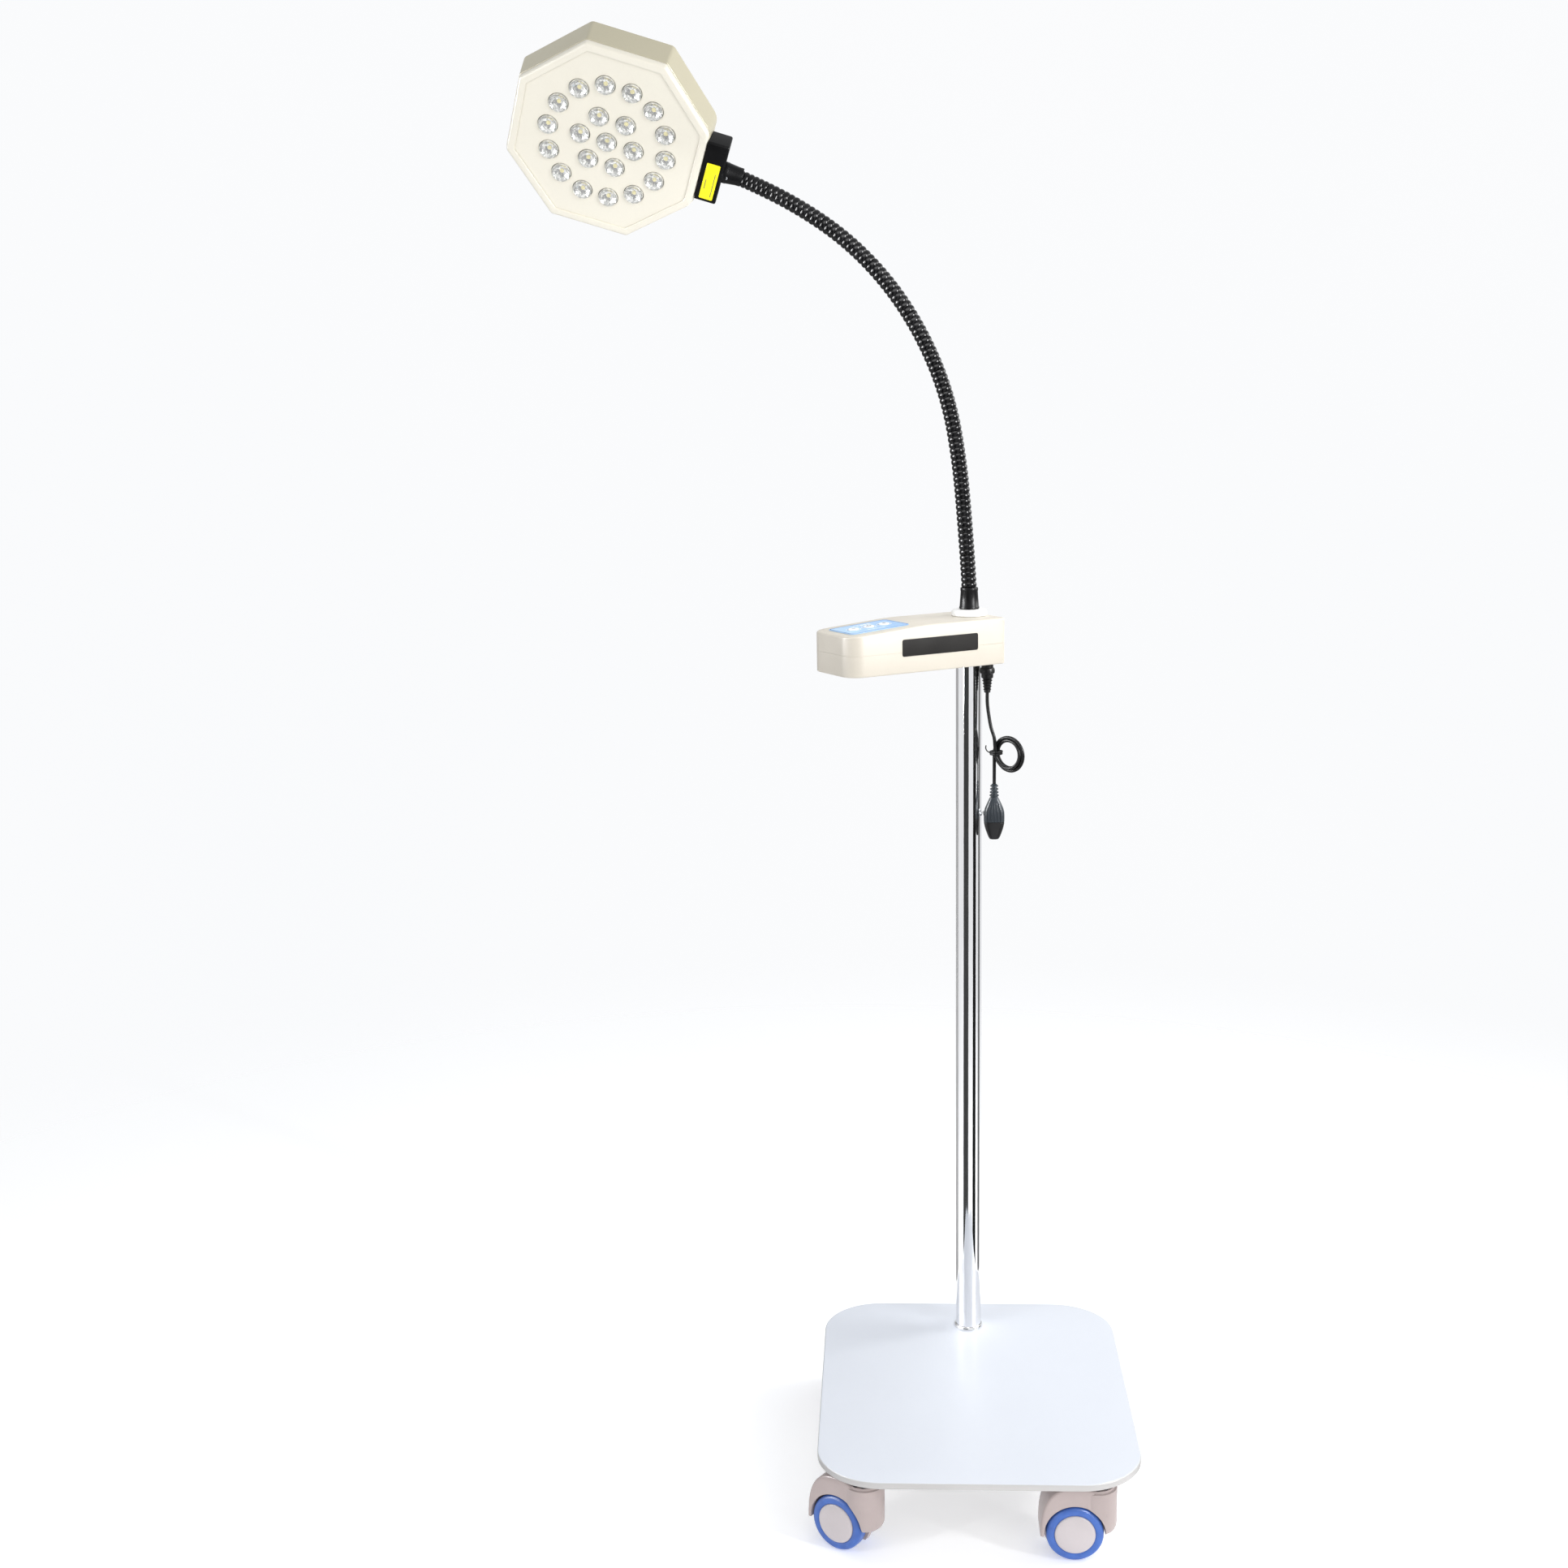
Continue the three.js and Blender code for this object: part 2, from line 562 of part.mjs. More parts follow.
function makeNeck() {
  const points = neckPoints();
  add('neck_collar', turned([
    [0, BOX_TOP + 21], [6 + GAP, BOX_TOP + 21], [6 + GAP, BOX_TOP + 8 + GAP], [12, BOX_TOP + 8 + GAP],
    ...cupProfile(10, NECK_Z),
  ], 20), M.black);
  LINK_ANGLES.forEach((angle, i) => {
    const link = turned([...ballProfile(), ...cupProfile(LINK_R, LINK_L)], 16);
    link.rotateY(rad(-angle)).translate(...points[i].toArray());
    add(`neck_link_${i + 1}`, link, M.black);
  });
  return points[points.length - 1];
}

// --------------------------------------------------------------------------------------------------- head
// The head's own frame: origin at the middle of the front plane, +X towards the neck, +Z out of the lit face.
function headMatrix(neckEnd) {
  const az = rad(HEAD_AZIMUTH);
  const el = rad(HEAD_ELEVATION);
  const toNeck = new THREE.Vector3(Math.cos(az) * Math.cos(el), Math.sin(az) * Math.cos(el), -Math.sin(el));
  const level = new THREE.Vector3(Math.sin(az), -Math.cos(az), 0);
  const down = new THREE.Vector3().crossVectors(level, toNeck).normalize();
  const face = level.clone().multiplyScalar(Math.cos(rad(HEAD_TILT)))
    .addScaledVector(down, -Math.sin(rad(HEAD_TILT)));
  if (face.z > 0) face.addScaledVector(down, 2 * Math.sin(rad(HEAD_TILT)));
  const up = new THREE.Vector3().crossVectors(face, toNeck);
  const m = new THREE.Matrix4().makeBasis(toNeck, up, face);
  const origin = neckEnd.clone().addScaledVector(toNeck, -HEAD_REACH).addScaledVector(face, HEAD_AXIS_DEPTH);
  return m.setPosition(origin);
}

const octagon = (pairs) => turned(pairs, 8, rad(22.5) + Math.PI / 2);

function ledSpots() {
  const spots = [[0, 0]];
  for (const { count, radius, phase } of [OUTER_RING, INNER_RING]) {
    for (let i = 0; i < count; i += 1) {
      const a = rad(phase) - (i * Math.PI * 2) / count;
      spots.push([radius * Math.cos(a), radius * Math.sin(a)]);
    }
  }
  return spots;
}

function octagonShape(r) {
  const points = [];
  for (let k = 0; k < 8; k += 1) points.push([r * Math.cos(rad(22.5 + 45 * k)), r * Math.sin(rad(22.5 + 45 * k))]);
  return polygon(points);
}

function makeHeadShells(head) {
  const skirt = FACE_R - 5;
  const lip = FACE_R - BEZEL_W;
  add('head_bezel', octagon([
    [lip, -1.6], [skirt, -1.6], [skirt, -8], [FACE_R + 1.4, -8], [FACE_R, -1.6], [FACE_R - 1.6, 0],
    [lip + 1, 0], [lip, -0.6], [lip, -1.6],
  ]), M.ivory, head);
  const wall = 3;
  const rim = FACE_R + 1.5;
  add('head_rear_housing', octagon([
    [0, -HEAD_DEPTH], [COVER_R, -HEAD_DEPTH], [BACK_R, BACK_Z], [rim, -8.3], [rim - wall, -8.3],
    [BACK_R - wall - 0.5, BACK_Z + 1], [COVER_R - 1.5, -HEAD_DEPTH + wall], [0, -HEAD_DEPTH + wall],
  ]), M.ivory, head);
}

function makeOptics(head) {
  const panel = octagonShape(FACE_R - 5 - GAP);
  for (const [x, y] of ledSpots()) {
    const hole = new THREE.Path();
    hole.absarc(x, y, LENS_R + 0.8, 0, Math.PI * 2, false);
    panel.holes.push(hole);
  }
  const front = prism(panel, -4.2, -1.9, 6);
  add('front_panel', front, M.ivory, head);
  let lenses = toSolid(prism(octagonShape(FACE_R - 10), -8, -4.6));
  for (const [x, y] of ledSpots()) {
    const lens = disc(LENS_R, -6, 1.6, 12);
    lenses = lenses.add(toSolid(lens.translate(x, y, 0)));
  }
  add('lens_plate', fromSolid(lenses), M.lens, head);
  add('led_board', disc(96, -12.4, -10.8, 40), M.circuit, head);
}

function makeHeadInside(head) {
  const fins = 9;
  const width = 140;
  const points = [[-width / 2, 0], [width / 2, 0]];
  for (let i = fins - 1; i >= 0; i -= 1) {
    const x = -width / 2 + 2 + (i * (width - 4)) / (fins - 1);
    points.push([x + 2, -16], [x - 2, -16]);
    if (i > 0) points.push([x - 2, -4], [x - (width - 4) / (fins - 1) + 2, -4]);
  }
  const sink = slab(polygon(points), 120).translate(0, 0, -12.8);
  add('heat_sink', sink, M.aluminium, head);
  add('led_driver', box(60, 40, -46, -29.4), M.grey, head);
}

function makeBracket(head) {
  const apothem = Math.cos(rad(22.5));
  const slope = (BACK_R - FACE_R - 1.5) / (-BACK_Z - 8.3);
  const inner = (z) => (FACE_R + 1.5 + slope * (-8.3 - z)) * apothem + 0.4;
  const block = slab(polygon([
    [inner(-2), -2], [136, -2], [138, -4], [138, -31], [inner(-31), -31],
  ]), 76);
  const collar = turned([
    [0, 0], [12.3, 0], [12.3, 6], [10.6, 12], [LINK_R, HEAD_REACH - 137],
    ...ballProfile().reverse().slice(1).map(([r, z]) => [r, -z + HEAD_REACH - 137]),
  ], 24).rotateY(Math.PI / 2).translate(137, 0, -HEAD_AXIS_DEPTH);
  const screwHole = disc(2.3, -HEAD_AXIS_DEPTH + 7, 0, 12).translate(142, 0, 0);
  add('head_bracket', cut(join(block, collar), screwHole), M.black, head);
  add('bracket_set_screw', disc(2, -HEAD_AXIS_DEPTH + 7.3, -HEAD_AXIS_DEPTH + 12, 12).translate(142, 0, 0),
    M.zinc, head);
  add('warning_label', prism(roundedRect(117, -33.5, 133, 12.5, 1), -1.8, -1.4, 2), M.label, head);
}

function makeHead(neckEnd) {
  const head = new THREE.Group();
  head.applyMatrix4(headMatrix(neckEnd));
  frame.add(head);
  makeHeadShells(head);
  makeOptics(head);
  makeHeadInside(head);
  makeBracket(head);
}

// ----------------------------------------------------------------------------------------------- assembly
makeBase();
makePole();
makeCasters();
makeControlBox();
makeLead();
const neckEnd = makeNeck();
makeHead(neckEnd);

// The origin is under the middle of the whole, on the floor.
root.updateMatrixWorld(true);
const bounds = new THREE.Box3().setFromObject(root, true);
frame.position.set(-(bounds.min.x + bounds.max.x) / 2, -(bounds.min.y + bounds.max.y) / 2, -bounds.min.z);
root.updateMatrixWorld(true);

export default root;
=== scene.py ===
"""Looks for the mobile surgical light: the visible surfaces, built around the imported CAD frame."""
import math

import bmesh
import bpy
from mathutils import Matrix, Vector
from mathutils.geometry import tessellate_polygon


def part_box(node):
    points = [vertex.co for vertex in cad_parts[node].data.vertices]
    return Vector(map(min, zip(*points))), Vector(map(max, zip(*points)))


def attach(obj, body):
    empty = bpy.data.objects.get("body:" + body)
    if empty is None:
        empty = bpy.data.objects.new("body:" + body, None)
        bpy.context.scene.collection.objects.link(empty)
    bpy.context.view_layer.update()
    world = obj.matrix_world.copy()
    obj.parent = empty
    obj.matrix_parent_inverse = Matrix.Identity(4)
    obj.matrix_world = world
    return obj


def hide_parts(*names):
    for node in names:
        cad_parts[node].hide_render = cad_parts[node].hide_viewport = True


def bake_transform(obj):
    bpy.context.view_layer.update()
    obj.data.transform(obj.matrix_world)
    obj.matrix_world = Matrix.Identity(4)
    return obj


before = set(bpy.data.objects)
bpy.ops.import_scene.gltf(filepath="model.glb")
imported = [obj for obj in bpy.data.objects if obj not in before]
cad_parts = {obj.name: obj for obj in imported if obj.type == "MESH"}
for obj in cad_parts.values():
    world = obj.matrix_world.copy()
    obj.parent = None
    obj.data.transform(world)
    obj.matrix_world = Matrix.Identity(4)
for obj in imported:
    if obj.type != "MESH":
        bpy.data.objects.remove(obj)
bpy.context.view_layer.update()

# Lengths are in millimetres from the foot of the pole. The studio's are in metres.
MM = 0.001

# ORIGIN is the foot of the pole in the scene's metres.
pole_low, pole_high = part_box("pole_tube")
ORIGIN = Vector(((pole_low.x + pole_high.x) / 2, (pole_low.y + pole_high.y) / 2, 0.0))
TURN = 2 * math.pi

# camera: its place from the foot of the pole, its direction in radians, and its lens in millimetres
CAMERA_SPOT = Vector((-91.89, -2486.24, 1318.82))
CAMERA_YAW = -0.054
CAMERA_PITCH = 0.201
CAMERA_ROLL = -0.017
CAMERA_LENS = 47.545
CAMERA_SENSOR = 36

# base
PLATE_BOTTOM = 90
PLATE_TOP = 98
PLATE_X = 368
PLATE_Y = 450
PLATE_R = 74
PLATE_CENTRE_Y = -162.5
CASTER_INSET_X = 54
CASTER_INSET_Y = 30
CASTER_TRAIL = 25
CASTER_YAW = {"front_right": 0, "front_left": -33, "rear_right": 24, "rear_left": 166}
WHEEL_R = 32.2
AXLE_Z = 32.222
COLUMN_R = 23
WELL_R = 34.2
WELL_IN = 3.6
COLUMN_TOP = 88.5
HOOD_HALF = 21.5
HOOD_REACH = 38.5
HOOD_SQUARENESS = 2.5
HOOD_FROM = 184
HOOD_SWEEP = 150

# pole and control box
POLE_R = 16
POLE_WALL = 2
POLE_TOP = 996
BOX_YAW = 32.5
BOX_REAR = 22.5
BOX_NOSE = 195
BOX_W = 90
BOX_NOSE_R = 20
BOX_REAR_R = 6
BOX_BOTTOM = 962
BOX_SPLIT = 987
BOX_TOP = 1017
BOX_NOSE_TOP = 1009
SLOPE_START = 90
BOX_WALL = 2.5
KEYPAD_X = 80
KEYPAD_Y = 56
CAP_R = 21.5
KEY_R = 6.5
KEY_PITCH = 21

# gooseneck
LINK_ANGLES = [4, 5, 10, 21.5, 32, 43.5, 55.5, 64]
LINK_L = 73.6
NECK_Z = 1053
SLEEVE_SINK = 9
SLEEVE_RUN_IN = 12
RIB_PITCH = 6.4
RIB_VALLEY = 8.0
RIB_CREST = 9.3

# lamp head
HEAD_ELEVATION = 17.06
HEAD_AZIMUTH = 5.5
HEAD_TILT = 35.3
HEAD_REACH = 154.8
HEAD_AXIS_DEPTH = 14
FACE_R = 120.1
BACK_R = 124.6
BACK_Z = -47
SHELL_R = FACE_R + 1.5
SEAM_Z = -8.3
COVER_R = 104
HEAD_DEPTH = 60
BEZEL_W = 9.8
LENS_R = 11.2
LENS_HOLE_GAP = 0.7
BRACKET_Y = 76
BRACKET_Z = 29
BRACKET_MIDDLE_Z = -16.5
COVER_SCREW_R = 82
FIN_PITCH = 9
FIN_LENGTH = 104
OUTER_RING = (14, 69.8, 128.3)
INNER_RING = (6, 32, 118)

# mains lead
GLAND = Vector((21, -18, 926))
CORD_R = 2.1
COIL_YAW = 40
COIL_CENTRE = Vector((47, -28, 852))
COIL_INNER = 16.8
COIL_OUTER = 20.5
COIL_PITCH = 4.5
PLUG_TOP = 813.5
PLUG_YAW = -3

# studio, in metres and degrees: the cards' lower and upper edges as reach and height
FLAG_FOOT = (0.34, 0.03)
FLAG_TOP = (3.2, 1.75)
GLINT_FOOT = (2.2, 1.05)
GLINT_TOP = (2.2, 2.15)
GLINT_POWER = 48.0
STRIP_SIZE = (0.07, 1.7)
NECK_MIDDLE = (0.1, 0.1, 1.3)
FLOOR_R = 5
FLOOR_Z = -0.0005


def placed(name, data):
    """A new object with this data, in the scene."""
    obj = bpy.data.objects.new(name, data)
    bpy.context.scene.collection.objects.link(obj)
    return obj


# --- camera --------------------------------------------
def make_camera():
    """A viewpoint in front of the stand, level with the neck and looking slightly down."""
    level = math.cos(CAMERA_PITCH)
    forward = Vector((math.sin(CAMERA_YAW) * level, math.cos(CAMERA_YAW) * level, -math.sin(CAMERA_PITCH)))
    right = Vector((math.cos(CAMERA_YAW), -math.sin(CAMERA_YAW), 0))
    up = right.cross(forward)
    x_axis = right * math.cos(CAMERA_ROLL) + up * math.sin(CAMERA_ROLL)
    y_axis = up * math.cos(CAMERA_ROLL) - right * math.sin(CAMERA_ROLL)
    data = bpy.data.cameras.new("camera")
    data.lens = CAMERA_LENS
    data.sensor_width = CAMERA_SENSOR
    turn = Matrix((x_axis, y_axis, -forward)).transposed().to_4x4()
    camera = placed("camera", data)
    camera.matrix_world = Matrix.Translation(ORIGIN + CAMERA_SPOT * MM) @ turn
    bpy.context.scene.camera = camera


# --- materials -----------------------------------------
class Nodes:
    """A material's node tree, with short calls for the few nodes used here."""

    def __init__(self, name):
        self.material = bpy.data.materials.new(name)
        self.material.use_nodes = True
        self.tree = self.material.node_tree
        self.shader = self.tree.nodes["Principled BSDF"]
        self.coords = self.add("ShaderNodeTexCoord").outputs["Object"]

    def add(self, kind, links=None, **values):
        node = self.tree.nodes.new(kind)
        for key, value in values.items():
            setattr(node, key, value)
        for key, source in (links or {}).items():
            if isinstance(source, bpy.types.NodeSocket):
                self.tree.links.new(source, node.inputs[key])
            else:
                node.inputs[key].default_value = source
        return node

    def set(self, **values):
        for key, value in values.items():
            self.shader.inputs[key.replace("_", " ")].default_value = value

    def link(self, source, name):
        self.tree.links.new(source, self.shader.inputs[name])

    def noise(self, scale, detail=3.0, stretch=None, rough=0.5):
        where = self.coords
        if stretch:
            where = self.add("ShaderNodeMapping", {"Vector": where, "Scale": stretch}).outputs["Vector"]
        return self.add("ShaderNodeTexNoise", {
            "Vector": where, "Scale": scale, "Detail": detail, "Roughness": rough}).outputs["Fac"]

    def spread(self, value, low, high, start=0.3, end=0.7):
        return self.add("ShaderNodeMapRange", {
            "Value": value, "From Min": start, "From Max": end, "To Min": low, "To Max": high,
        }).outputs["Result"]

    def blend(self, factor, first, second):
        node = self.add("ShaderNodeMix", data_type="RGBA")
        self.tree.links.new(factor, node.inputs["Factor"])
        for socket, colour in ((node.inputs[6], first), (node.inputs[7], second)):
            if isinstance(colour, bpy.types.NodeSocket):
                self.tree.links.new(colour, socket)
            else:
                socket.default_value = (*colour, 1)
        return node.outputs[2]

    def bump(self, height, distance, strength=1.0, after=None):
        links = {"Height": height, "Distance": distance, "Strength": strength}
        if after:
            links["Normal"] = after
        return self.add("ShaderNodeBump", links).outputs["Normal"]

    def facing_up(self):
        normal = self.add("ShaderNodeNewGeometry").outputs["Normal"]
        return self.add("ShaderNodeSeparateXYZ", {"Vector": normal}).outputs["Z"]


def tinted(colour, factor):
    """A colour made lighter or darker, and no brighter than white."""
    return tuple(min(1.0, c * factor) for c in colour)


def moulded(name, colour, roughness, grain, depth, shade, blotch, specular=0.3):
    """Moulded plastic or coat: slow tone changes, a fine grain in the surface and a few dull patches."""
    n = Nodes(name)
    tone = n.spread(n.noise(blotch, 4), 0, 1)
    speck = n.spread(n.noise(grain * 0.35, 2), 0, 1, 0.45, 0.75)
    base = n.blend(tone, tinted(colour, shade), colour)
    fleck = n.add("ShaderNodeMath", {0: speck, 1: 0.12}, operation="MULTIPLY").outputs[0]
    n.link(n.blend(fleck, base, tinted(colour, shade * 0.9)), "Base Color")
    n.link(n.spread(n.noise(34, 5, rough=0.65), roughness * 0.82, roughness * 1.2), "Roughness")
    n.link(n.bump(n.noise(grain, 3), depth), "Normal")
    n.set(Specular_IOR_Level=specular)
    return n.material


def drawn_steel(name, colour, roughness, along, depth):
    """Drawn or brushed metal, with its grain along one direction and faint handling marks."""
    n = Nodes(name)
    n.set(Metallic=1.0)
    lines = n.noise(1400, 3, along)
    tone = n.spread(lines, 0, 1, 0.25, 0.75)
    n.link(n.blend(tone, tinted(colour, 0.9), colour), "Base Color")
    smudge = n.spread(n.noise(22, 4), roughness * 0.75, roughness * 1.5)
    n.link(smudge, "Roughness")
    n.link(n.bump(lines, depth), "Normal")
    return n.material


def finished(name, tone, first, second, gloss, grain=None, **settings):
    """Two mixed tones under a gloss of its own. tone is the scale and detail of the noise that mixes them,
    and the part of it that counts. gloss is scale, detail and two roughnesses. grain is scale, detail and
    depth."""
    n = Nodes(name)
    n.set(**settings)
    n.link(n.blend(n.spread(n.noise(*tone[:2]), 0, 1, *tone[2:]), first, second), "Base Color")
    n.link(n.spread(n.noise(*gloss[:2]), *gloss[2:]), "Roughness")
    if grain:
        n.link(n.bump(n.noise(*grain[:2]), grain[2]), "Normal")
    return n.material


def plate_material():
    """Pale blue-grey powder coat with fine orange peel and light scuffs, its side faces painted darker and
    warmer than its top as painted shade.
    """
    n = Nodes("plate_coat_painted_shade")
    top = (0.75, 0.785, 0.85)
    side = (0.49, 0.48, 0.475)
    # Painted shade: faces that turn away from up take the darker, warmer side colour, and the top takes the
    # paler one.
    up = n.spread(n.facing_up(), 0, 1, 0.55, 0.95)
    tone = n.spread(n.noise(5, 4), 0, 1)
    base = n.blend(up, side, top)
    n.link(n.blend(tone, base, n.blend(up, tinted(side, 1.05), tinted(top, 0.975))), "Base Color")
    n.link(n.spread(n.noise(16, 6, rough=0.7), 0.3, 0.46), "Roughness")
    peel = n.bump(n.noise(420, 2), 0.00007)
    n.link(n.bump(n.noise(60, 2, (1, 0.08, 1)), 0.00002, after=peel), "Normal")
    return n.material


def keypad_material():
    """Printed blue film: paler towards the nose, fine weave of the screen print."""
    n = Nodes("keypad_film")
    where = n.add("ShaderNodeSeparateXYZ", {"Vector": n.coords}).outputs["X"]
    along = n.spread(where, 0, 1, ORIGIN.x - 0.17, ORIGIN.x - 0.09)
    n.link(n.blend(along, (0.45, 0.66, 0.88), (0.24, 0.45, 0.74)), "Base Color")
    n.link(n.spread(n.noise(150, 3), 0.28, 0.42), "Roughness")
    n.link(n.bump(n.noise(1600, 2), 0.00003), "Normal")
    return n.material


def circuit_material():
    """Green board with copper-coloured traces."""
    n = Nodes("circuit_board")
    cells = n.add("ShaderNodeTexVoronoi", {"Vector": n.coords, "Scale": 130}, distance="MANHATTAN")
    line = n.spread(cells.outputs["Distance"], 0, 1, 0.02, 0.1)
    n.link(n.blend(line, (0.16, 0.2, 0.08), (0.012, 0.11, 0.035)), "Base Color")
    n.link(n.spread(n.noise(200, 3), 0.3, 0.5), "Roughness")
    n.link(n.bump(line, 0.00004), "Normal")
    return n.material


# Moulded plastics, coats and films: name, colour, roughness, grain scale and depth, shade, blotch scale, and
# the specular level where it isn't the usual one.
MOULDED = {
    "hood": ("hood_plastic", (0.445, 0.375, 0.365), 0.36, 1100, 0.00004, 0.92, 30),
    "hub": ("hub_plastic", (0.56, 0.515, 0.525), 0.34, 1100, 0.00003, 0.94, 34),
    "hood_dark": ("hood_recess", (0.07, 0.062, 0.066), 0.6, 900, 0.00004, 0.8, 60),
    "ivory": ("ivory_case", (0.625, 0.58, 0.50), 0.4, 950, 0.00004, 0.97, 8),
    "face": ("lamp_face", (0.80, 0.765, 0.665), 0.38, 950, 0.00003, 0.975, 8),
    # The lamp housing is the face's cream painted darker and more olive: painted shade on the rear shell and
    # its cooling ribs.
    "housing": ("lamp_housing", (0.515, 0.48, 0.355), 0.36, 950, 0.00004, 0.965, 8),
    "white": ("white_cap", (0.90, 0.90, 0.88), 0.34, 950, 0.00003, 0.97, 14),
    "keypad_line": ("keypad_line", (0.07, 0.19, 0.46), 0.36, 1400, 0.00002, 0.9, 60),
    "key": ("key_cap", (0.86, 0.88, 0.91), 0.35, 1200, 0.00002, 0.96, 60),
    "print": ("printed_ink", (0.05, 0.07, 0.1), 0.4, 1400, 0.00002, 0.85, 90),
    "badge": ("badge_film", (0.018, 0.017, 0.016), 0.55, 1400, 0.00002, 0.85, 40, 0.08),
    "label": ("yellow_film", (0.93, 0.83, 0.008), 0.38, 1200, 0.00002, 0.96, 40),
    "grey": ("grey_case", (0.27, 0.28, 0.3), 0.5, 900, 0.00004, 0.94, 9),
    "plug": ("plug_rubber", (0.03, 0.038, 0.047), 0.36, 1300, 0.00005, 0.8, 40),
    "plug_black": ("plug_base", (0.012, 0.012, 0.013), 0.33, 1300, 0.00004, 0.8, 40),
    "led": ("led_phosphor", (0.86, 0.76, 0.34), 0.4, 1600, 0.00002, 0.9, 200),
}

# Drawn and plated metals: name, colour, roughness, direction of the grain, depth.
METALS = {
    "steel": ("polished_tube", (0.86, 0.86, 0.87), 0.055, (1, 1, 0.02), 0.000006),
    "zinc": ("zinc_plate", (0.60, 0.62, 0.64), 0.3, (1, 1, 1), 0.00002),
    "aluminium": ("aluminium", (0.72, 0.73, 0.74), 0.34, (1, 0.05, 1), 0.00001),
}

# Skins, rubbers and clear parts, as finished() takes them.
FINISHED = {
    "tyre": ("tyre_blue", (60, 4), (0.036, 0.10, 0.37), (0.05, 0.14, 0.48),
             (130, 4, 0.32, 0.5), (900, 3, 0.00004)),
    "sleeve": ("neck_skin", (45, 5, 0.5, 0.8), (0.003, 0.003, 0.0035), (0.009, 0.009, 0.01),
               (240, 3, 0.13, 0.2), (1500, 2, 0.00002)),
    "black": ("gloss_black", (28, 5), (0.0035, 0.0035, 0.004), (0.007, 0.007, 0.0075),
              (60, 4, 0.26, 0.38), (700, 2, 0.00003)),
    "cord": ("cord_jacket", (70, 4), (0.003, 0.003, 0.0035), (0.009, 0.009, 0.0095),
             (200, 3, 0.28, 0.42), (1800, 2, 0.00003)),
    "optic": ("optic_cup", (420, 3, 0.42, 0.62), (0.5, 0.5, 0.475), (0.93, 0.925, 0.89),
              (500, 2, 0.05, 0.2)),
    "clear": ("clear_acrylic", (120, 3), (0.88, 0.9, 0.92), (0.97, 0.98, 0.99), (220, 3, 0.02, 0.06)),
    "rim": ("lens_rim", (260, 3, 0.35, 0.65), (0.42, 0.415, 0.385), (0.84, 0.83, 0.77),
            (300, 3, 0.08, 0.2)),
}

# Their shader's settings, where they aren't the usual ones.
SHADER = {
    "sleeve": {"Specular_IOR_Level": 0.2},
    "black": {"Specular_IOR_Level": 0.12},
    "cord": {"Specular_IOR_Level": 0.2},
    "optic": {"Metallic": 0.85},
    "clear": {"Alpha": 0.12, "Specular_IOR_Level": 0.9},
    "rim": {"Specular_IOR_Level": 0.6},
}
MAT = {}


def make_materials():
    """Every material, under the short name that pieces use."""
    for key, values in MOULDED.items():
        MAT[key] = moulded(*values)
    for key, values in METALS.items():
        MAT[key] = drawn_steel(*values)
    for key, values in FINISHED.items():
        MAT[key] = finished(*values, **SHADER.get(key, {}))
    MAT["plate"] = plate_material()
    MAT["keypad"] = keypad_material()
    MAT["circuit"] = circuit_material()


# --- solids --------------------------------------------
class Shape:
    """Solids gathered into one mesh, each with its own material slot."""

    def __init__(self):
        self.verts = []
        self.faces = []
        self.slots = []

    def add(self, solid, slot=0, local=None):
        verts, faces = solid
        start = len(self.verts)
        local = local or Matrix()
        self.verts += [local @ Vector(v) for v in verts]
        self.faces += [[start + i for i in f] for f in faces]
        self.slots += [slot] * len(faces)
        return self


def loft(rings, loop=False, caps=True):
    """Skins through rings of equal point counts. A ring of one point closes the skin to a tip."""
    verts = [p for ring in rings for p in ring]
    starts = [0]
    for ring in rings:
        starts.append(starts[-1] + len(ring))
    faces = []
    count = len(rings)
    for k in range(count if loop else count - 1):
        a, b = k, (k + 1) % count
        na, nb = len(rings[a]), len(rings[b])
        for i in range(max(na, nb)):
            j = (i + 1) % max(na, nb)
            low = [starts[a] + i, starts[a] + j] if na > 1 else [starts[a]]
            high = [starts[b] + j, starts[b] + i] if nb > 1 else [starts[b]]
            faces.append(low + high)
    if caps and not loop:
        if len(rings[0]) > 1:
            faces.append(list(range(starts[1]))[::-1])
        if len(rings[-1]) > 1:
            faces.append(list(range(starts[-2], starts[-1])))
    return verts, faces


def polar(r, angle):
    """The x and y of a point at a radius and an angle."""
    return r * math.cos(angle), r * math.sin(angle)


def circle(r, z, sides=64):
    """A ring of points round Z, or one point where there is no radius."""
    if r <= 0:
        return [Vector((0, 0, z))]
    return [Vector((*polar(r, TURN * i / sides), z)) for i in range(sides)]


def turned(pairs, sides=64, loop=False):
    """A turned solid on Z from pairs of radius and height."""
    return loft([circle(r, z, sides) for r, z in pairs], loop=loop)


def filleted(corners, radii, steps=6):
    """A closed outline of straight sides, with each corner rounded to its own radius."""
    points = []
    count = len(corners)
    for i, corner in enumerate(corners):
        here = Vector(corner)
        back = (Vector(corners[i - 1]) - here).normalized()
        ahead = (Vector(corners[(i + 1) % count]) - here).normalized()
        half = back.angle(ahead) / 2
        r = radii[i] if isinstance(radii, (list, tuple)) else radii
        middle = here + (back + ahead).normalized() * (r / math.sin(half))
        first = here + back * (r / math.tan(half)) - middle
        sweep = first.angle_signed(here + ahead * (r / math.tan(half)) - middle)
        for k in range(steps + 1):
            turn = Matrix.Rotation(-sweep * k / steps, 2)
            points.append(middle + turn @ first)
    return points


def lifted(outline, z):
    """A flat outline as a ring at a height."""
    return [Vector((p.x, p.y, z)) for p in outline]


def rounding(r, steps=4):
    """Inset and drop of a quarter-round edge, from the side up to the flat."""
    return [(r * (1 - math.cos(t)), r * (1 - math.sin(t)))
            for t in [math.pi / 2 * k / steps for k in range(steps + 1)]]


